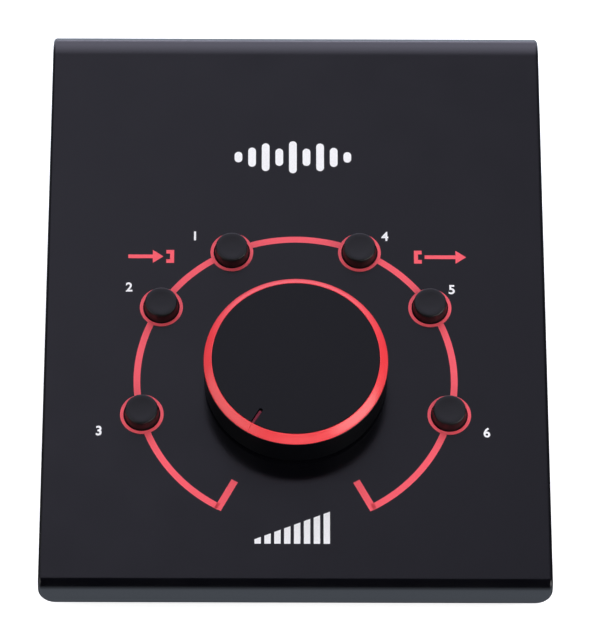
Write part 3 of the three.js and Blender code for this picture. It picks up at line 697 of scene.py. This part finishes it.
def makeFeet():
    size = rubberFoot
    height, slope, topBreak = size["height"], size["ringSlope"], size["topBreak"]
    rounded = arcProfile(size["bottomRadius"] - size["edge"], size["edge"], size["edge"],
                         -quarterTurn, 0, 6)
    first = drawTurned("rubberFoot", [
        (0, 0), (size["ringInner"], 0), (size["ringInner"] + slope, size["ringDepth"]),
        (size["ringOuter"] - slope, size["ringDepth"]), (size["ringOuter"], 0), *rounded,
        (size["topRadius"], height - 2 * topBreak), (size["topRadius"] - topBreak, height),
        (0, height),
    ], 64)
    for corner in corners:
        middle = nodeMiddle("foot_" + corner)
        finishPiece(copyPiece(first, "rubberFoot_" + corner), "rubber", "case", "foot_" + corner,
                    place=(middle.x, middle.y, 0))
    bpy.data.objects.remove(first)


panScrew = {
    "headRadius": 2.8,
    "headHeight": 1.9,
    "shankRadius": 1.5,
    "threadPitch": 0.5,
    "threadDepth": 0.16,
    "crossWidth": 0.55,
    "crossReach": 1.5,
    "crossDepth": 1.1,
    "domeShare": 0.62,  # of the head's height
    "domeLeans": (20, 40, 58, 74, 86),  # degrees from the top, of the points along the dome
    "firstTurn": 0.4,  # no two screws stop at the same turn of their cross
    "nextTurn": 0.9,
}


def drawScrew(name, reach):
    size = panScrew
    head, height, shank = size["headRadius"], size["headHeight"], size["shankRadius"]
    leans = [math.radians(degrees) for degrees in size["domeLeans"]]
    dome = [(head * math.sin(lean), -height + height * size["domeShare"] * (1 - math.cos(lean)))
            for lean in leans]
    thread = []
    turns = int((reach - 0.6) / size["threadPitch"])
    for i in range(turns):
        start = 0.4 + i * size["threadPitch"]
        thread += [(shank - size["threadDepth"], start), (shank, start + size["threadPitch"] / 2)]
    screw = drawTurned(name, [
        (0, -height), *dome, (head, -height * 0.3), (head, -0.15), (head - 0.15, 0), (shank, 0),
        (shank, 0.3), *thread, (shank - size["threadDepth"], reach - 0.15), (shank - 0.4, reach),
        (0, reach),
    ], 48)
    cutCross(screw, (2 * size["crossReach"], size["crossWidth"], 2),
             -height + size["crossDepth"] - 1)
    return screw


def makeTrayScrews():
    low, high = cadBox("tray_screw_" + corners[0])
    first = drawScrew("closingScrew", high.z - low.z - panScrew["headHeight"])
    for number, corner in enumerate(corners):
        middle = nodeMiddle("tray_screw_" + corner)
        finishPiece(copyPiece(first, "closingScrew_" + corner), "black_screw", "case",
                    "tray_screw_" + corner,
                    place=(middle.x, middle.y, low.z + panScrew["headHeight"]),
                    spin=panScrew["firstTurn"] + number * panScrew["nextTurn"])
    bpy.data.objects.remove(first)


makeCover()
print("cover made")
makeTray()
makeFeet()
makeTrayScrews()
print("tray, feet and screws made")

# Dial

dial = {
    "radius": 25.4,
    "under": 1.2,
    "ringBase": 12.0,
    "ringRim": 0.2,
    "top": 13.9,
    "ringInner": 23.15,
    "recess": 8.2,
    "recessTop": 5.2,
    "seatHeight": 11.5,  # top of the body, under the ring and the plate
    "slotWidth": 1.15,
    "slotInner": 18.1,  # radius of the slot's inner end
    "pointerWidth": 0.84,
    "pointerGap": 0.5,  # between the two inner ends
    "pointerDepth": 0.5,  # from the plate's top down to the pointer
    "pointerEdge": 0.08,
    "crown": 9,  # degrees that the bevel leans away from straight at either edge
    "notchWidth": 0.4,  # a fine line across the bevel, in line with the pointer
    "notchDepth": 0.1,
    "lowEdge": 0.5,  # rounding of the body's lower edge
    "seatEdge": 0.1,
    "plateGap": 0.1,
    "plateFloor": 0.3,  # gap under the plate
    "sides": 192,
}


def drawTongue(name, width, length, height, middle):  # a bar with a round inner end
    inner = middle[1] - length / 2
    tongue = makeBlock(name, (width, length, height), middle)
    pick("EDGE", lambda middle, lean: abs(lean.z) > 0.9 and middle.y < inner + 0.01)
    bevelEdges(width / 2 - 0.01, 8)
    objectMode()
    return tongue


def makeDial():
    size = dial
    radius, sides, top, seatHeight = size["radius"], size["sides"], size["top"], size["seatHeight"]
    recess, recessTop, under = size["recess"], size["recessTop"], size["under"]
    edge, seatEdge = size["lowEdge"], size["seatEdge"]
    lowEdge = arcProfile(radius - edge, under + edge, edge, -quarterTurn, 0, 4)
    body = drawTurned("dialBody", [
        (0, recessTop), (recess, recessTop), (recess, under), *lowEdge,
        (radius, seatHeight - seatEdge), (radius - seatEdge, seatHeight), (0, seatHeight),
    ], sides)
    finishPiece(body, "dial_black", "dial", "dial_body", place=dialPlace, lean=deckSlope)

    base = size["ringBase"] - size["ringRim"]
    ringInner = size["ringInner"]
    bevelWidth, bevelHeight = radius - ringInner, top - size["ringBase"]
    facing = math.atan2(bevelWidth, bevelHeight)  # the bevel's own direction, above the deck
    crown = math.radians(size["crown"])
    crownRadius = math.hypot(bevelWidth, bevelHeight) / 2 / math.sin(crown)
    middleRadius, middleHeight = radius - bevelWidth / 2, size["ringBase"] + bevelHeight / 2
    bevel = arcProfile(middleRadius - crownRadius * math.cos(crown) * math.cos(facing),
                       middleHeight - crownRadius * math.cos(crown) * math.sin(facing),
                       crownRadius, facing - crown, facing + crown, 8)
    ring = drawTurned("dialBevel", [
        (ringInner, base), (radius - 0.05, base), (radius, base + 0.05),
        (radius, size["ringBase"] - 0.1), (radius - 0.03, size["ringBase"]), *bevel[1:-1],
        (ringInner + 0.2, top - 0.07), (ringInner + 0.1, top - 0.04),
        (ringInner + 0.03, top - 0.05), (ringInner, top - 0.12), (ringInner, base),
    ], sides)
    notch = makeBlock("notch", (size["notchWidth"], 2 * bevelWidth, 1),
                      (0, 0, 0.5 - size["notchDepth"]))
    applyPlace(notch, (0, radius - bevelWidth / 2, top - bevelHeight / 2),
               (-math.atan2(bevelHeight, bevelWidth), 0, 0))
    cutWith(ring, notch)
    finishPiece(ring, "dial_red", "dial", "dial_ring",
                place=dialPlace, lean=deckSlope, spin=dialSweep / 2)

    plateRadius, plateLow = ringInner - size["plateGap"], seatHeight + size["plateFloor"]
    plate = drawTurned("dialPlate", [
        (0, plateLow), (plateRadius, plateLow), (plateRadius, top - 0.1),
        (plateRadius - 0.03, top - 0.03), (plateRadius - 0.1, top), (0, top),
    ], sides)
    slotLength = plateRadius + 2 - size["slotInner"]
    groove = drawTongue("groove", size["slotWidth"], slotLength, 2 * top,
                        (0, size["slotInner"] + slotLength / 2, top))
    cutWith(plate, groove)
    finishPiece(plate, "dial_black", "dial", "dial_cap",
                place=dialPlace, lean=deckSlope, spin=dialSweep / 2)

    inner = size["slotInner"] + size["pointerGap"]
    reach = ringInner + 0.3 - inner
    thickness = top - size["pointerDepth"] - base
    pointer = drawTongue("dialPointer", size["pointerWidth"], reach, thickness,
                         (0, inner + reach / 2, base + thickness / 2))
    easeEdges(pointer, size["pointerEdge"])
    finishPiece(pointer, "dial_red", "dial", place=dialPlace, lean=deckSlope, spin=dialSweep / 2)
    # the pointer's red lacquer is darkened to deep crimson: painted shade of the deep slot it lies in
    pointer.data.materials[0] = lacqueredAluminium(
        "redLacquerPaintedShade", "#7c1c34", "#86223a", 0.5, 0.0)


makeDial()
print("dial made")

# Buttons

buttonCap = {
    "radius": 4.8,
    "topRadius": 4.52,  # the side has a little draft
    "height": 3.6,
    "edge": 0.5,
    "dish": 0.12,
    "flangeRadius": 6.1,
    "flangeTop": -1.8,
    "flangeBottom": -2.8,
}


def makeCaps():
    size = buttonCap
    radius, height, edge = size["radius"], size["height"], size["edge"]
    flat = size["topRadius"] - edge
    rounded = arcProfile(flat, height - edge, edge, 0, quarterTurn, 8)
    hollow = [(flat * share, height - size["dish"] * (1 - share ** 2))
              for share in (0.75, 0.5, 0.25)]
    flange, flangeTop, flangeBottom = size["flangeRadius"], size["flangeTop"], size["flangeBottom"]
    first = drawTurned("buttonCap", [
        (0, flangeBottom), (flange, flangeBottom), (flange, flangeTop), (radius, flangeTop),
        (radius, 0), *rounded, *hollow, (0, height - size["dish"]),
    ], 80)
    for name in buttons:
        finishPiece(copyPiece(first, "buttonCap_" + name), "cap_black", name + "_button",
                    name + "_cap", place=onDeck(*buttonPlace(name)), lean=deckSlope)
    bpy.data.objects.remove(first)


makeCaps()
print("buttons made")

# Printing on the deck: thin layers of ink

ink = {
    "under": -0.02,  # the ink starts just inside the paint and stands just proud of it
    "over": 0.03,
    "arcRadius": 44.05,
    "arcWidth": 1.87,
    "ringOuter": 6.03,
    "ringInner": 5.14,
    "arcEnd": 151.6,  # degrees from the top to the middle of an end stroke
    "strokeInner": 35.1,
    "strokeOuter": 44.88,
    "strokeWidth": 2.0,
}


def layPrint(piece, slotName):  # gives a flat print its thickness and lays it on the deck
    applyPlace(piece, (0, 0, ink["over"]))
    addModifier(piece, "SOLIDIFY", thickness=ink["over"] - ink["under"], offset=-1)
    finishPiece(piece, slotName, "case", place=dialPlace, lean=deckSlope)


def flatRing(name, x, y):
    growth = ink["ringOuter"] / ink["ringInner"]
    ring = startPiece(name, bpy.ops.mesh.primitive_circle_add, vertices=96,
                      radius=ink["ringInner"], location=(x, y, 0))
    bpy.ops.mesh.extrude_edges_move()
    bpy.ops.transform.resize(value=(growth, growth, 1), center_override=(x, y, 0))
    faceUp()
    return ring


def faceUp():  # welds a flat print in edit mode and turns it to face up
    weldMesh(threshold=0.0001)
    bpy.ops.mesh.normals_make_consistent(inside=False)
    faceTowards((0, 0, 1), lambda face: face.calc_area())


def flatArc(name, fromDegrees, toDegrees):  # a band of the arc, clockwise from the top
    band = startEdge(name, (ink["arcRadius"], 0, 0), ink["arcWidth"])
    applyPlace(band, turn=(0, 0, quarterTurn - math.radians(fromDegrees)))
    editMode()
    selectMesh()
    steps = max(2, round(abs(toDegrees - fromDegrees)))
    bendBy(math.radians(toDegrees - fromDegrees), (0, 0, 0), steps, (0, 0, 1))
    faceUp()
    return band


def flatBar(name, x, y, width, length, turn):  # a bar with its middle at x, y
    bar = addPrimitive(name, bpy.ops.mesh.primitive_plane_add, size=1, location=(x, y, 0),
                       rotation=(0, 0, turn))
    bar.scale = (width, length, 1)
    applyPlace(bar)
    return bar


def printArc():
    gap = math.degrees(2 * math.asin((ink["ringOuter"] - 0.1) / 2 / arcRadius))
    places = sorted(buttons.values())
    starts = [-ink["arcEnd"]] + [place + gap for place in places]
    ends = [place - gap for place in places] + [ink["arcEnd"]]
    bands = [flatArc("band", start, end) for start, end in zip(starts, ends)]
    layPrint(joinPieces(bands), "print_red")
    bands[0].name = "scaleArc"
    for side, sideName in ((-1, "left"), (1, "right")):
        angle = math.radians(ink["arcEnd"]) * side
        middle = (ink["strokeInner"] + ink["strokeOuter"]) / 2
        stroke = flatBar("scaleEnd_" + sideName, middle * math.sin(angle), middle * math.cos(angle),
                         ink["strokeWidth"], ink["strokeOuter"] - ink["strokeInner"], -angle)
        layPrint(stroke, "print_red")
    for name in buttons:
        ring = flatRing("buttonRing_" + name, *buttonPlace(name))
        layPrint(ring, "print_red")


# Plain numbers stand where the captions are, by the middle of each on the deck

captions = {
    "channel_swap": ("1", -28.4, 45.0),
    "input_select": ("2", -46.7, 28.7),
    "mute": ("3", -54.3, -15.9),
    "output_a": ("4", 25.2, 45.0),
    "output_b": ("5", 43.8, 28.2),
    "mono": ("6", 52.8, -16.2),
}
numberType = {
    "height": 2.7,
    "figureShare": 0.69,  # height of the font's figures, as a share of its size
    "boldness": 0.035,  # a little bolder than the plain font, as a share of the height
}


def flatNumber(name, words, x, y):
    deselectAll()
    bpy.ops.object.text_add()
    text = bpy.context.object
    text.data.body = words
    text.data.align_x = "CENTER"
    text.data.align_y = "CENTER"
    text.data.size = numberType["height"] / numberType["figureShare"]
    text.data.offset = numberType["boldness"] * numberType["height"]
    bpy.ops.object.convert(target="MESH")
    piece = bpy.context.object
    piece.name = name
    editMode()
    faceUp()
    applyPlace(piece, (x, y, 0))
    return piece


def printCaptions():
    for name, (words, x, y) in captions.items():
        layPrint(flatNumber("number_" + name, words, x, y), "print_white")


# Signs stand where the words are: an arrow into a bracket over the inputs, one out of a bracket
# over the outputs, level bars at the rear edge and a rising wedge of bars at the front edge

signs = {
    "stroke": 1.15,
    "height": 4.1,
    "headLength": 3.0,
    "bracketWidth": 2.2,
    "inputLeft": -47.1,
    "inputRight": -34.2,
    "outputLeft": 33.3,
    "outputRight": 48.0,
    "middle": 38.6,  # up the deck from the dial's middle
    "gap": 0.8,  # between the arrow's end and the bracket
}
levelBars = {
    "middle": (-0.8, 70.6),
    "heights": (3.4, 6.2, 9.0, 5.6, 10.4, 5.6, 9.0, 6.2, 3.4),
    "width": 2.2,
    "pitch": 3.875,
}
wedgeBars = {
    "left": -11.2,
    "bottom": -49.7,
    "length": 20.6,
    "height": 9.6,
    "lowEnd": 1.3,
    "count": 8,
    "gap": 0.95,
}


def flatOutline(name, points):  # a flat shape drawn corner by corner
    x, y = points[0]
    piece = startPoint(name, (x, y, 0))
    for nextX, nextY in points[1:]:
        flatRun((nextX - x, nextY - y, 0))
        x, y = nextX, nextY
    selectMesh()
    bpy.ops.mesh.edge_face_add()
    faceUp()
    return piece


def arrowOutline(left, right, middle):
    half, thin = signs["height"] / 2, signs["stroke"] / 2
    neck = right - signs["headLength"]
    return [(left, middle - thin), (neck, middle - thin), (neck, middle - half), (right, middle),
            (neck, middle + half), (neck, middle + thin), (left, middle + thin)]


def bracketOutline(tips, back, middle):  # a square bracket, from the tips of its arms to its back
    half, stroke = signs["height"] / 2, signs["stroke"]
    inside = back - math.copysign(stroke, back - tips)
    low, high = middle - half, middle + half
    return [(tips, low), (back, low), (back, high), (tips, high), (tips, high - stroke),
            (inside, high - stroke), (inside, low + stroke), (tips, low + stroke)]


def barOutline(x, y, width, height):  # a bar with round ends
    radius = width / 2
    top = arcProfile(x, y + height / 2 - radius, radius, 0, math.pi, 10)
    bottom = arcProfile(x, y - height / 2 + radius, radius, math.pi, 2 * math.pi, 10)
    return top + bottom


def printSigns():
    middle, gap = signs["middle"], signs["gap"]
    inBack, outBack = signs["inputRight"], signs["outputLeft"]
    inTips, outTips = inBack - signs["bracketWidth"], outBack + signs["bracketWidth"]
    for name, outline in (
            ("inputArrow", arrowOutline(signs["inputLeft"], inTips - gap, middle)),
            ("outputArrow", arrowOutline(outTips + gap, signs["outputRight"], middle)),
            ("inputBracket", bracketOutline(inTips, inBack, middle)),
            ("outputBracket", bracketOutline(outTips, outBack, middle))):
        layPrint(flatOutline(name, outline), "print_red")

    x, y = levelBars["middle"]
    bars = []
    for number, height in enumerate(levelBars["heights"]):
        across = x + (number - (len(levelBars["heights"]) - 1) / 2) * levelBars["pitch"]
        bars.append(flatOutline("levelBar", barOutline(across, y, levelBars["width"], height)))
    layPrint(joinPieces(bars), "print_white")
    bars[0].name = "levelBars"

    size = wedgeBars
    pitch = (size["length"] + size["gap"]) / size["count"]
    rise = (size["height"] - size["lowEnd"]) / size["length"]
    wedge = []
    for number in range(size["count"]):
        start = number * pitch
        end = start + pitch - size["gap"]
        outline = [(start, 0), (end, 0), (end, size["lowEnd"] + rise * end),
                   (start, size["lowEnd"] + rise * start)]
        wedge.append(flatOutline("wedgeBar", [(size["left"] + across, size["bottom"] + up)
                                              for across, up in outline]))
    layPrint(joinPieces(wedge), "print_white")
    wedge[0].name = "wedgeBars"


printArc()
printCaptions()
printSigns()
print("printing made")

# Sockets in the rear wall

socketSeat = -1.8  # where their bodies start, counted outwards from the wall's outer face

jackSocket = {
    "bore": 3.3,
    "boreDepth": 29,
    "boreWall": 0.8,
    "boreFloor": 1.0,
    "mouth": 0.55,  # flare of the bore's mouth
    "collar": 3,  # how far the nose reaches back into the body
    "nose": 5.8,
    "reach": 4.2,  # beyond the wall
    "lip": 0.6,
    "threadPitch": 0.75,
    "threadDepth": 0.28,
    "bodyWidth": 16,
    "bodyHeight": 15.4,
    "bodyDepth": 25.5,
    "nutFlats": 14.4,
    "nutLow": 0.3,
    "nutHigh": 2.7,
    "nutChamfer": 0.5,
}


def threadProfile(radius, low, high, pitch, depth):
    points = []
    for i in range(int((high - low) / pitch)):
        start = low + i * pitch
        points += [(radius, start + 0.1 * pitch), (radius - depth, start + 0.5 * pitch),
                   (radius, start + 0.9 * pitch)]
    return points


def drawNut(name, flats, bore, low, high, chamfer):
    across = flats / math.sqrt(3)
    nut = startPiece(name, bpy.ops.mesh.primitive_cylinder_add, vertices=6, radius=across,
                     depth=high - low, location=(0, 0, (low + high) / 2))
    dome = drawTurned("dome", [
        (0, low - 1), (across + 1, low - 1), (across + 1, high - 1.6 * chamfer),
        (flats / 2 - 0.1, high), (0, high),
    ], 96)
    cutWith(nut, dome, "INTERSECT")
    cutWith(nut, makeRod(bore, low - 1, high + 1, 64))
    easeEdges(nut, 0.12, angle=35)
    return nut


def makeJackSockets():
    size = jackSocket
    nose, reach, bore, lip = size["nose"], size["reach"], size["bore"], size["lip"]
    boreEnd, mouth = reach - size["boreDepth"], size["mouth"]
    back, wall, collar = boreEnd - size["boreFloor"], bore + size["boreWall"], size["collar"]
    first = drawTurned("jackSocket", [
        (0, back), (wall, back), (wall, socketSeat - collar), (nose, socketSeat - collar),
        (nose, socketSeat),
        *threadProfile(nose, 0, reach - lip, size["threadPitch"], size["threadDepth"]),
        (nose - 0.1, reach - lip), (nose - lip, reach), (bore + mouth, reach),
        (bore, reach - mouth), (bore, boreEnd), (0, boreEnd),
    ], 96)
    shell = makeShell("shell", (size["bodyWidth"], size["bodyHeight"], size["bodyDepth"]),
                      (0, 0, socketSeat - size["bodyDepth"] / 2), 0.5)
    cutWith(shell, makeRod(bore + 0.7, socketSeat - size["bodyDepth"] + 0.5, 2, 64))
    joinPieces([first, shell])
    nut = drawNut("jackNut", size["nutFlats"], nose + 0.15, size["nutLow"], size["nutHigh"],
                  size["nutChamfer"])
    for number, name in enumerate(socketNames()):
        middle = nodeMiddle(name + "_nut")
        place = (middle.x, rearWall, middle.z)
        finishPiece(copyPiece(first, "jackSocket_" + name), "socket_black", "case",
                    name + "_socket", place=place, lean=-quarterTurn)
        finishPiece(copyPiece(nut, "jackNut_" + name), "socket_black", "case",
                    name + "_nut", place=place, lean=-quarterTurn)
    bpy.data.objects.remove(first)
    bpy.data.objects.remove(nut)


phonoPair = {
    "sleeve": 4.15,
    "sleeveWall": 0.8,
    "reach": 9.5,
    "grooveFrom": 1.6,  # a shallow groove round the sleeve, counted back from its mouth
    "grooveTo": 0.7,
    "grooveDepth": 0.1,
    "grooveSlope": 0.2,
    "outerEdge": 0.25,
    "innerEdge": 0.2,
    "pin": 1.7,
    "pinDepth": 8,
    "core": 3.05,
    "blockDepth": 12.5,
}


def makePhonoPair():
    size = phonoPair
    outer, inner, reach = size["sleeve"], size["sleeve"] - size["sleeveWall"], size["reach"]
    grooveLow, grooveHigh = reach - size["grooveFrom"], reach - size["grooveTo"]
    groove, slope = outer - size["grooveDepth"], size["grooveSlope"]
    outerEdge, innerEdge = size["outerEdge"], size["innerEdge"]
    sleeve = drawTurned("phonoSleeve", [
        (inner, -1.5), (outer, -1.5), (outer, grooveLow), (groove, grooveLow + slope),
        (groove, grooveHigh - slope), (outer, grooveHigh), (outer, reach - outerEdge),
        (outer - outerEdge, reach), (inner + innerEdge, reach), (inner, reach - innerEdge),
        (inner, -1.5),
    ], 80)
    coreRadius, pin, pinEnd = size["core"], size["pin"], reach - size["pinDepth"]
    core = drawTurned("phonoCore", [
        (0, -4), (coreRadius, -4), (coreRadius, reach - 1.0), (coreRadius - 0.2, reach - 0.8),
        (pin + 0.35, reach - 0.8), (pin, reach - 1.15), (pin, pinEnd), (0, pinEnd),
    ], 64)
    low, high = cadBox("phono_block")
    depth = size["blockDepth"]
    middle = ((low.x + high.x) / 2, rearWall + socketSeat - depth / 2, (low.z + high.z) / 2)
    holder = makeShell("phonoBlock", (high.x - low.x, depth, high.z - low.z), middle, 0.5)
    cores = []
    for level in ("lower", "upper"):
        middle = nodeMiddle("phono_sleeve_" + level)
        place = (middle.x, rearWall, middle.z)
        finishPiece(copyPiece(sleeve, "phonoSleeve_" + level), "nickel", "case",
                    "phono_sleeve_" + level, place=place, lean=-quarterTurn)
        plug = copyPiece(core, "phonoCore_" + level)
        applyPlace(plug, place, (-quarterTurn, 0, 0))
        cores.append(plug)
    joinPieces([holder, *cores])
    finishPiece(holder, "socket_black", "case", "phono_block")
    bpy.data.objects.remove(sleeve)
    bpy.data.objects.remove(core)


miniJack = {
    "bore": 1.8,
    "boreDepth": 14.5,
    "boreWall": 0.8,
    "mouth": 0.3,
    "nose": 3.0,
    "collar": 0.6,
    "reach": 3.4,
    "lip": 0.35,
    "threadPitch": 0.5,
    "threadDepth": 0.18,
    "nutRadius": 4.2,
    "nutLow": 0.3,
    "nutHigh": 2.1,
    "slotWidth": 0.9,
    "bodyDepth": 13,
}


def makeMiniJack():
    size = miniJack
    nose, reach, bore = size["nose"], size["reach"], size["bore"]
    boreEnd, mouth, lip = reach - size["boreDepth"], size["mouth"], size["lip"]
    back, wall, collar = boreEnd - size["boreWall"], bore + size["boreWall"], size["collar"]
    low, high = cadBox("mini_jack")
    place = nodeMiddle("mini_jack_nut")
    place.y = rearWall
    barrel = drawTurned("miniJack", [
        (0, back), (wall, back), (wall, socketSeat - collar), (nose, socketSeat - collar),
        (nose, 0),
        *threadProfile(nose, 0.1, reach - 0.4, size["threadPitch"], size["threadDepth"]),
        (nose - 0.05, reach - lip), (nose - lip, reach), (bore + mouth, reach),
        (bore, reach - mouth), (bore, boreEnd), (0, boreEnd),
    ], 64)
    shell = makeShell("shell", (high.x - low.x, size["bodyDepth"], high.z - low.z),
                      (0, socketSeat - size["bodyDepth"] / 2, (low.z + high.z) / 2 - place.z), 0.4)
    applyPlace(barrel, turn=(-quarterTurn, 0, 0))
    joinPieces([barrel, shell])
    finishPiece(barrel, "socket_black", "case", "mini_jack", place=place)

    rim, nutLow, nutHigh = size["nutRadius"], size["nutLow"], size["nutHigh"]
    nut = drawTurned("miniNut", [
        (nose + 0.1, nutLow), (rim - 0.2, nutLow), (rim, nutLow + 0.2), (rim, nutHigh - 0.3),
        (rim - 0.3, nutHigh), (nose + 0.35, nutHigh), (nose + 0.1, nutHigh - 0.25),
        (nose + 0.1, nutLow),
    ], 64)
    cutCross(nut, (4 * rim, size["slotWidth"], 1.4), nutHigh)  # two slots across it for the spanner
    finishPiece(nut, "nickel", "case", "mini_jack_nut", place=place, lean=-quarterTurn)


makeJackSockets()
makePhonoPair()
makeMiniJack()
print("sockets made")

# Floor, world and lamps

studio = {
    "floorSize": 16,
    "floorDrop": 0.00005,
    "floorColour": "#e8e8ea",
    "floorGlow": 0.78,  # seen by the camera, so that the floor reads as white paper
    "paintedMirrorTint": "#e2eeff",  # painted reflection: in reflections the floor is a glow of this tint, a painted bright strip ahead of the object
    "paintedMirrorReach": 0.4,  # fades over this distance, in metres
    "paintedMirrorLevels": [  # by the square root of the share, so that most steps are near the object; low right at the object's front: painted shadow of the object
        (0.0, 0.1), (0.1, 1.34), (0.155, 1.4), (0.19, 1.04), (0.23, 0.82), (0.31, 0.52),
        (0.62, 0.1), (1.0, 0.0)],
    "paintedMirrorBehind": 0.98,  # its brightness behind the object; level with the object, under it and beside it, the glow is nil: painted shade
    "roomTint": "#e8e6ff",  # the room's light is a little cool
    "roomLevels": [  # by how far towards the rear: dark in front and overhead, bright behind
        (-1.0, 0.0), (-0.1, 0.0), (0.0, 0.16), (0.05, 0.84), (0.08, 0.91), (0.12, 0.78),
        (0.155, 0.63), (0.19, 0.54), (0.235, 0.66), (0.29, 1.1), (0.6, 2.1), (0.84, 2.08),
        (0.97, 1.12), (0.989, 1.16), (1.0, 3.2)],
    "roomSides": 0.03,  # share of that light which is left at either side
    "roomLean": 0.3,  # overhead, the left is brighter by this share and the right darker
}


def levelCurve(tree, factor, levels):  # a brightness that follows pairs of place and level
    ramp = addNode(tree, "ShaderNodeValToRGB", {"Fac": factor})
    stops = ramp.color_ramp.elements
    while len(stops) < len(levels):
        stops.new(0.5)
    brightest = max(level for place, level in levels)
    for stop, (place, level) in zip(stops, levels):
        stop.position = place
        stop.color = (level / brightest,) * 3 + (1,)
    return addNode(tree, "ShaderNodeMath", {0: ramp, 1: brightest}, operation="MULTIPLY")


# the floor's glow as reflections see it, by place: a painted bright strip ahead of the object, painted shadow
# close in front of it and under it, bright again behind
def paintedMirrorGlow(tree):
    place = addNode(tree, "ShaderNodeTexCoord").outputs["Object"]
    along = addNode(tree, "ShaderNodeSeparateXYZ", {"Vector": place}).outputs["Y"]
    ahead = addNode(tree, "ShaderNodeMapRange", {
        "Value": along, "From Min": cadLow.y, "From Max": cadLow.y - studio["paintedMirrorReach"]})
    root = addNode(tree, "ShaderNodeMath", {0: ahead, 1: 0.5}, operation="POWER")
    isAhead = addNode(tree, "ShaderNodeMath", {0: along, 1: cadLow.y}, operation="LESS_THAN")
    front = addNode(tree, "ShaderNodeMath", {
        0: levelCurve(tree, root, studio["paintedMirrorLevels"]), 1: isAhead}, operation="MULTIPLY")
    behind = addNode(tree, "ShaderNodeMapRange", {
        "Value": along, "From Min": cadHigh.y, "From Max": cadHigh.y + 0.02,
        "To Max": studio["paintedMirrorBehind"]})
    return addNode(tree, "ShaderNodeMath", {0: front, 1: behind}, operation="ADD")


def makeFloor():
    deselectAll()
    bpy.ops.mesh.primitive_plane_add(size=studio["floorSize"],
                                     location=(0, 0, -studio["floorDrop"]))
    floor = bpy.context.object
    floor.name = "floor"
    material, tree, surface = newMaterial("paperFloor", {
        "Base Color": linear(studio["floorColour"]), "Roughness": 0.9, "Specular IOR Level": 0.1})
    path = addNode(tree, "ShaderNodeLightPath").outputs
    glow = addNode(tree, "ShaderNodeEmission", {
        "Color": (1, 1, 1, 1), "Strength": studio["floorGlow"]})
    lit = addNode(tree, "ShaderNodeAddShader", {0: surface, 1: glow})
    # in reflections the floor is only this painted glow, not the lit floor
    mirrored = addNode(tree, "ShaderNodeEmission", {
        "Color": linear(studio["paintedMirrorTint"]), "Strength": paintedMirrorGlow(tree)})
    seen = addNode(tree, "ShaderNodeMixShader", {0: path["Is Camera Ray"], 1: surface, 2: lit})
    mixed = addNode(tree, "ShaderNodeMixShader", {0: path["Is Glossy Ray"], 1: seen, 2: mirrored})
    feed(tree, tree.nodes["Material Output"], {"Surface": mixed})
    floor.data.materials.append(material)


def makeWorld():
    world = bpy.data.worlds.new("studioRoom")
    world.use_nodes = True
    bpy.context.scene.world = world
    tree = world.node_tree
    direction = addNode(tree, "ShaderNodeTexCoord").outputs["Generated"]
    axes = addNode(tree, "ShaderNodeSeparateXYZ", {"Vector": direction}).outputs
    sideways = addNode(tree, "ShaderNodeMath", {0: axes["X"]}, operation="ABSOLUTE")
    narrowing = addNode(tree, "ShaderNodeMapRange", {
        "Value": sideways, "From Min": 0.2, "From Max": 0.78,
        "To Min": 1.0, "To Max": studio["roomSides"],
    }, interpolation_type="SMOOTHSTEP")
    tilt = addNode(tree, "ShaderNodeMapRange", {
        "Value": axes["X"], "From Min": -0.1, "From Max": 0.1, "To Min": -1.0, "To Max": 1.0})
    lean = addNode(tree, "ShaderNodeMapRange", {
        "Value": axes["Y"], "From Min": 0.2, "From Max": 0.5,
        "To Min": -studio["roomLean"], "To Max": 0.0})
    leaning = addNode(tree, "ShaderNodeMath", {0: tilt, 1: lean, 2: 1.0}, operation="MULTIPLY_ADD")
    rearwards = addNode(tree, "ShaderNodeMapRange", {"Value": axes["Y"], "From Min": -1.0})
    levels = [((along + 1) / 2, level) for along, level in studio["roomLevels"]]
    profile = levelCurve(tree, rearwards, levels)
    shape = addNode(tree, "ShaderNodeMath", {0: narrowing, 1: leaning}, operation="MULTIPLY")
    level = addNode(tree, "ShaderNodeMath", {0: profile, 1: shape}, operation="MULTIPLY")
    lit = addNode(tree, "ShaderNodeBackground", {
        "Color": linear(studio["roomTint"]), "Strength": level})
    seen = addNode(tree, "ShaderNodeBackground", {"Color": (1, 1, 1, 1), "Strength": 1.0})
    path = addNode(tree, "ShaderNodeLightPath").outputs
    mixed = addNode(tree, "ShaderNodeMixShader", {0: path["Is Camera Ray"], 1: lit, 2: seen})
    feed(tree, tree.nodes["World Output"], {"Surface": mixed})


lamps = {
    "keyRight": {"place": (1.08, -0.71, 0.45), "size": 1.15, "power": 11.8, "reflected": True},
    "fillLeft": {"place": (-1.2, -0.55, 0.47), "size": 1.6, "power": 9.2, "reflected": True},
    "softRear": {"place": (0.0, 0.9, 1.35), "size": 1.2, "power": 13, "reflected": False},
    "softFront": {"place": (0.0, -1.4, 0.15), "size": 0.8, "power": 8, "reflected": False},
}


def makeLamps():
    target = (cadLow + cadHigh) / 2
    for name, lamp in lamps.items():
        place = Vector(lamp["place"])
        deselectAll()
        bpy.ops.object.light_add(type="AREA", location=place)
        light = bpy.context.object
        light.name = name
        light.data.shape = "SQUARE"
        light.data.size = lamp["size"]
        light.data.energy = lamp["power"]
        light.visible_glossy = lamp["reflected"]
        light.rotation_euler = (target - place).to_track_quat("-Z", "Y").to_euler()


makeFloor()
makeWorld()
makeLamps()
bpy.context.scene.view_settings.view_transform = "Standard"
print("studio made")

deselectAll()
